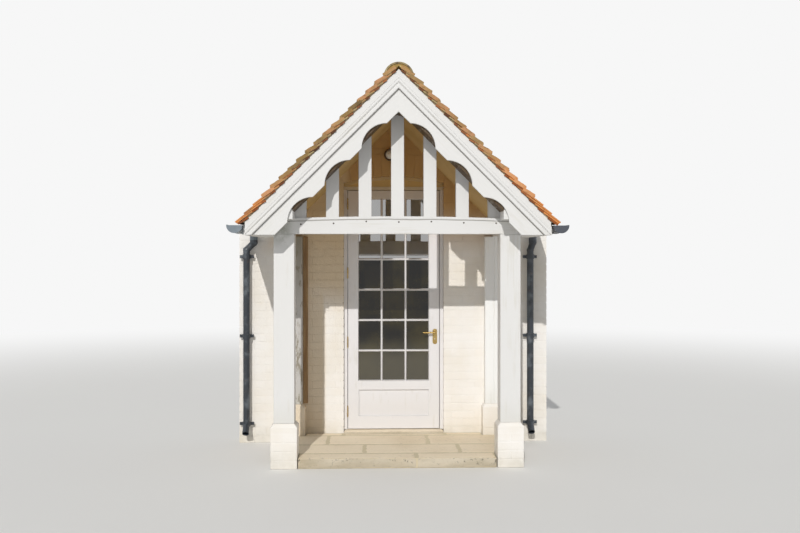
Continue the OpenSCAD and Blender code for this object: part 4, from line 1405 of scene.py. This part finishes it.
# %% Bead and painted line on the frame head
BEAD = 34 * MM
# The tan of the bead and the line is painted warm shade.
shaded_bead_paint = timber_paint("bead paint", (6, 30, 30), tone="#c2a26c", warm_shade=0.3)
head_bead = ring_sector("head_bead", arch_radius - BEAD, arch_radius - 0.5 * MM, arch_angle,
                        head_face - 9 * MM, head_face + 4 * MM)
finish_piece(soften(head_bead, 4 * MM, 3), shaded_bead_paint)
line_low, line_high = HEAD_LINE - 4 * MM, HEAD_LINE + 2 * MM
line_half = math.sqrt((arch_radius - BEAD) ** 2 - (line_high - arch_centre.z) ** 2) - 2 * MM
head_line = box_shape("head_line", (-line_half, head_face - 4 * MM, line_low),
                      (line_half, head_face + 2 * MM, line_high))
finish_piece(soften(head_line, 1.5 * MM), shaded_bead_paint)

# %% Door leaf
for node in ("door_leaf", "door_panel"):
    dress("joinery_" + node, node, 1.5 * MM, joinery_paint, "door")


# %% [markdown]
# ## Pegs and screws
# A dark iron fixing shows in the tie beam in front of each strut, and brass screws hold the
# handle plates.


# %% Fixings
def button(name, radius, height, sides=12):
    """A low domed head that stands out along minus Y."""
    points = [(radius * r * math.cos(math.tau * k / sides), -height * h,
               radius * r * math.sin(math.tau * k / sides))
              for r, h in ((1, 0), (1, 0.5), (0.75, 0.85), (0.4, 1)) for k in range(sides)]
    return closed(name, points, tube_faces(sides, 4))


peg_iron = Finish("peg iron", 0.6)
peg_iron.paint(peg_iron.blend(peg_iron.noise(200, 3), "#35302c", "#5b4a3d"))
peg = button("peg", 7 * MM, 3 * MM)
STRUTS = 7
STRUT_WIDE = 110 * MM
strut_step = (strut_high.x - strut_low.x - STRUT_WIDE) / (STRUTS - 1)
peg_places = []
for i in range(STRUTS):
    x = (i - (STRUTS - 1) / 2) * strut_step + 10 * MM
    drop = 40 * MM + (12 if i < 2 else 5 * (i % 2)) * MM + CAMBER * (x / beam_high.x) ** 2
    peg_places.append(((x, front_y, beam_high.z - drop), (1, 1, 1), NO_TURN))
pegs = settle(lay("beam_pegs", peg, peg_places, peg_iron.material, 2))
finish_piece(pegs, peg_iron.material)
screw = button("screw", 3.2 * MM, 1.2 * MM)
plate_low, plate_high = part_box("handle_plates")
plate_x = (plate_low.x + plate_high.x) / 2
screw_places = [((plate_x, y, z), (1, 1, 1), (0, 0, turn))
                for y, turn in ((plate_low.y + 0.3 * MM, 0), (plate_high.y - 0.3 * MM, math.pi))
                for z in (plate_low.z + 11 * MM, plate_high.z - 11 * MM)]
screws = settle(lay("plate_screws", screw, screw_places, brass, 4))
finish_piece(screws, brass, body="door")

for helper in (unit_block, shape_of_tile, lump, arch_ring, under_gable, peg, screw):
    bpy.data.objects.remove(helper)

# %% [markdown]
# ## Floor, light and background
# A studio floor, pale and plain, keeps the porch's shadow. One soft sun, 30 degrees up in front
# and a little to the left, does the modelling, and a pale sky fills the shade. The background is
# bright only to the camera and in mirrors, so it adds no light to the object.

# %% Floor
BACKDROP = (0.93, 0.93, 0.93, 1)
FLOOR_HALF = 60


def floor_finish():
    ground = Finish("studio floor", 0.9)
    ground.paint(ground.blend(ground.noise(0.5, 2), "#eae8e5", "#ecebe7"))
    centre = ground.add("ShaderNodeVectorMath", {0: ground.coords}, operation="LENGTH")
    far = ground.between(centre.outputs["Value"], 5.0, 16.0)
    seen = ground.add("ShaderNodeLightPath").outputs["Is Camera Ray"]
    glow = ground.add("ShaderNodeEmission", {"Color": BACKDROP, "Strength": 1.0})
    mixed = ground.add("ShaderNodeMixShader", {0: ground.times(far, seen),
                                               1: ground.shader.outputs[0], 2: glow.outputs[0]})
    ground.tree.links.new(mixed.outputs[0], ground.tree.nodes["Material Output"].inputs["Surface"])
    return ground.material


floor = from_lists("studio_floor", [(x * FLOOR_HALF, y * FLOOR_HALF, -MM) for x, y in (
    (-1, -1), (1, -1), (1, 1), (-1, 1))], [(0, 1, 2, 3)])
floor.data.materials.append(floor_finish())


# %% Light
SUN_WAY = Vector((0.18, 1.0, -0.59))


def studio_world():
    world = bpy.data.worlds.new("studio")
    world.use_nodes = True
    tree = world.node_tree
    sky = tree.nodes["Background"]
    sky.inputs["Color"].default_value = (0.93, 0.96, 1.0, 1)
    sky.inputs["Strength"].default_value = 0.42
    white = add_node(tree, "ShaderNodeBackground", {"Color": BACKDROP, "Strength": 1.0})
    path = add_node(tree, "ShaderNodeLightPath").outputs
    either = add_node(tree, "ShaderNodeMath", {0: path["Is Camera Ray"], 1: path["Is Glossy Ray"]},
                      operation="MAXIMUM")
    mixed = add_node(tree, "ShaderNodeMixShader", {0: either.outputs[0], 1: sky.outputs[0],
                                                   2: white.outputs[0]})
    tree.links.new(mixed.outputs[0], tree.nodes["World Output"].inputs["Surface"])
    bpy.context.scene.world = world


studio_world()
sun = new_object("key", bpy.data.lights.new("key", "SUN"))
sun.data.energy = 2.2
sun.data.angle = math.radians(0.6)
sun.data.color = (1.0, 0.985, 0.96)
sun.rotation_euler = SUN_WAY.to_track_quat("-Z", "Y").to_euler()
bpy.context.scene.view_settings.view_transform = "Standard"
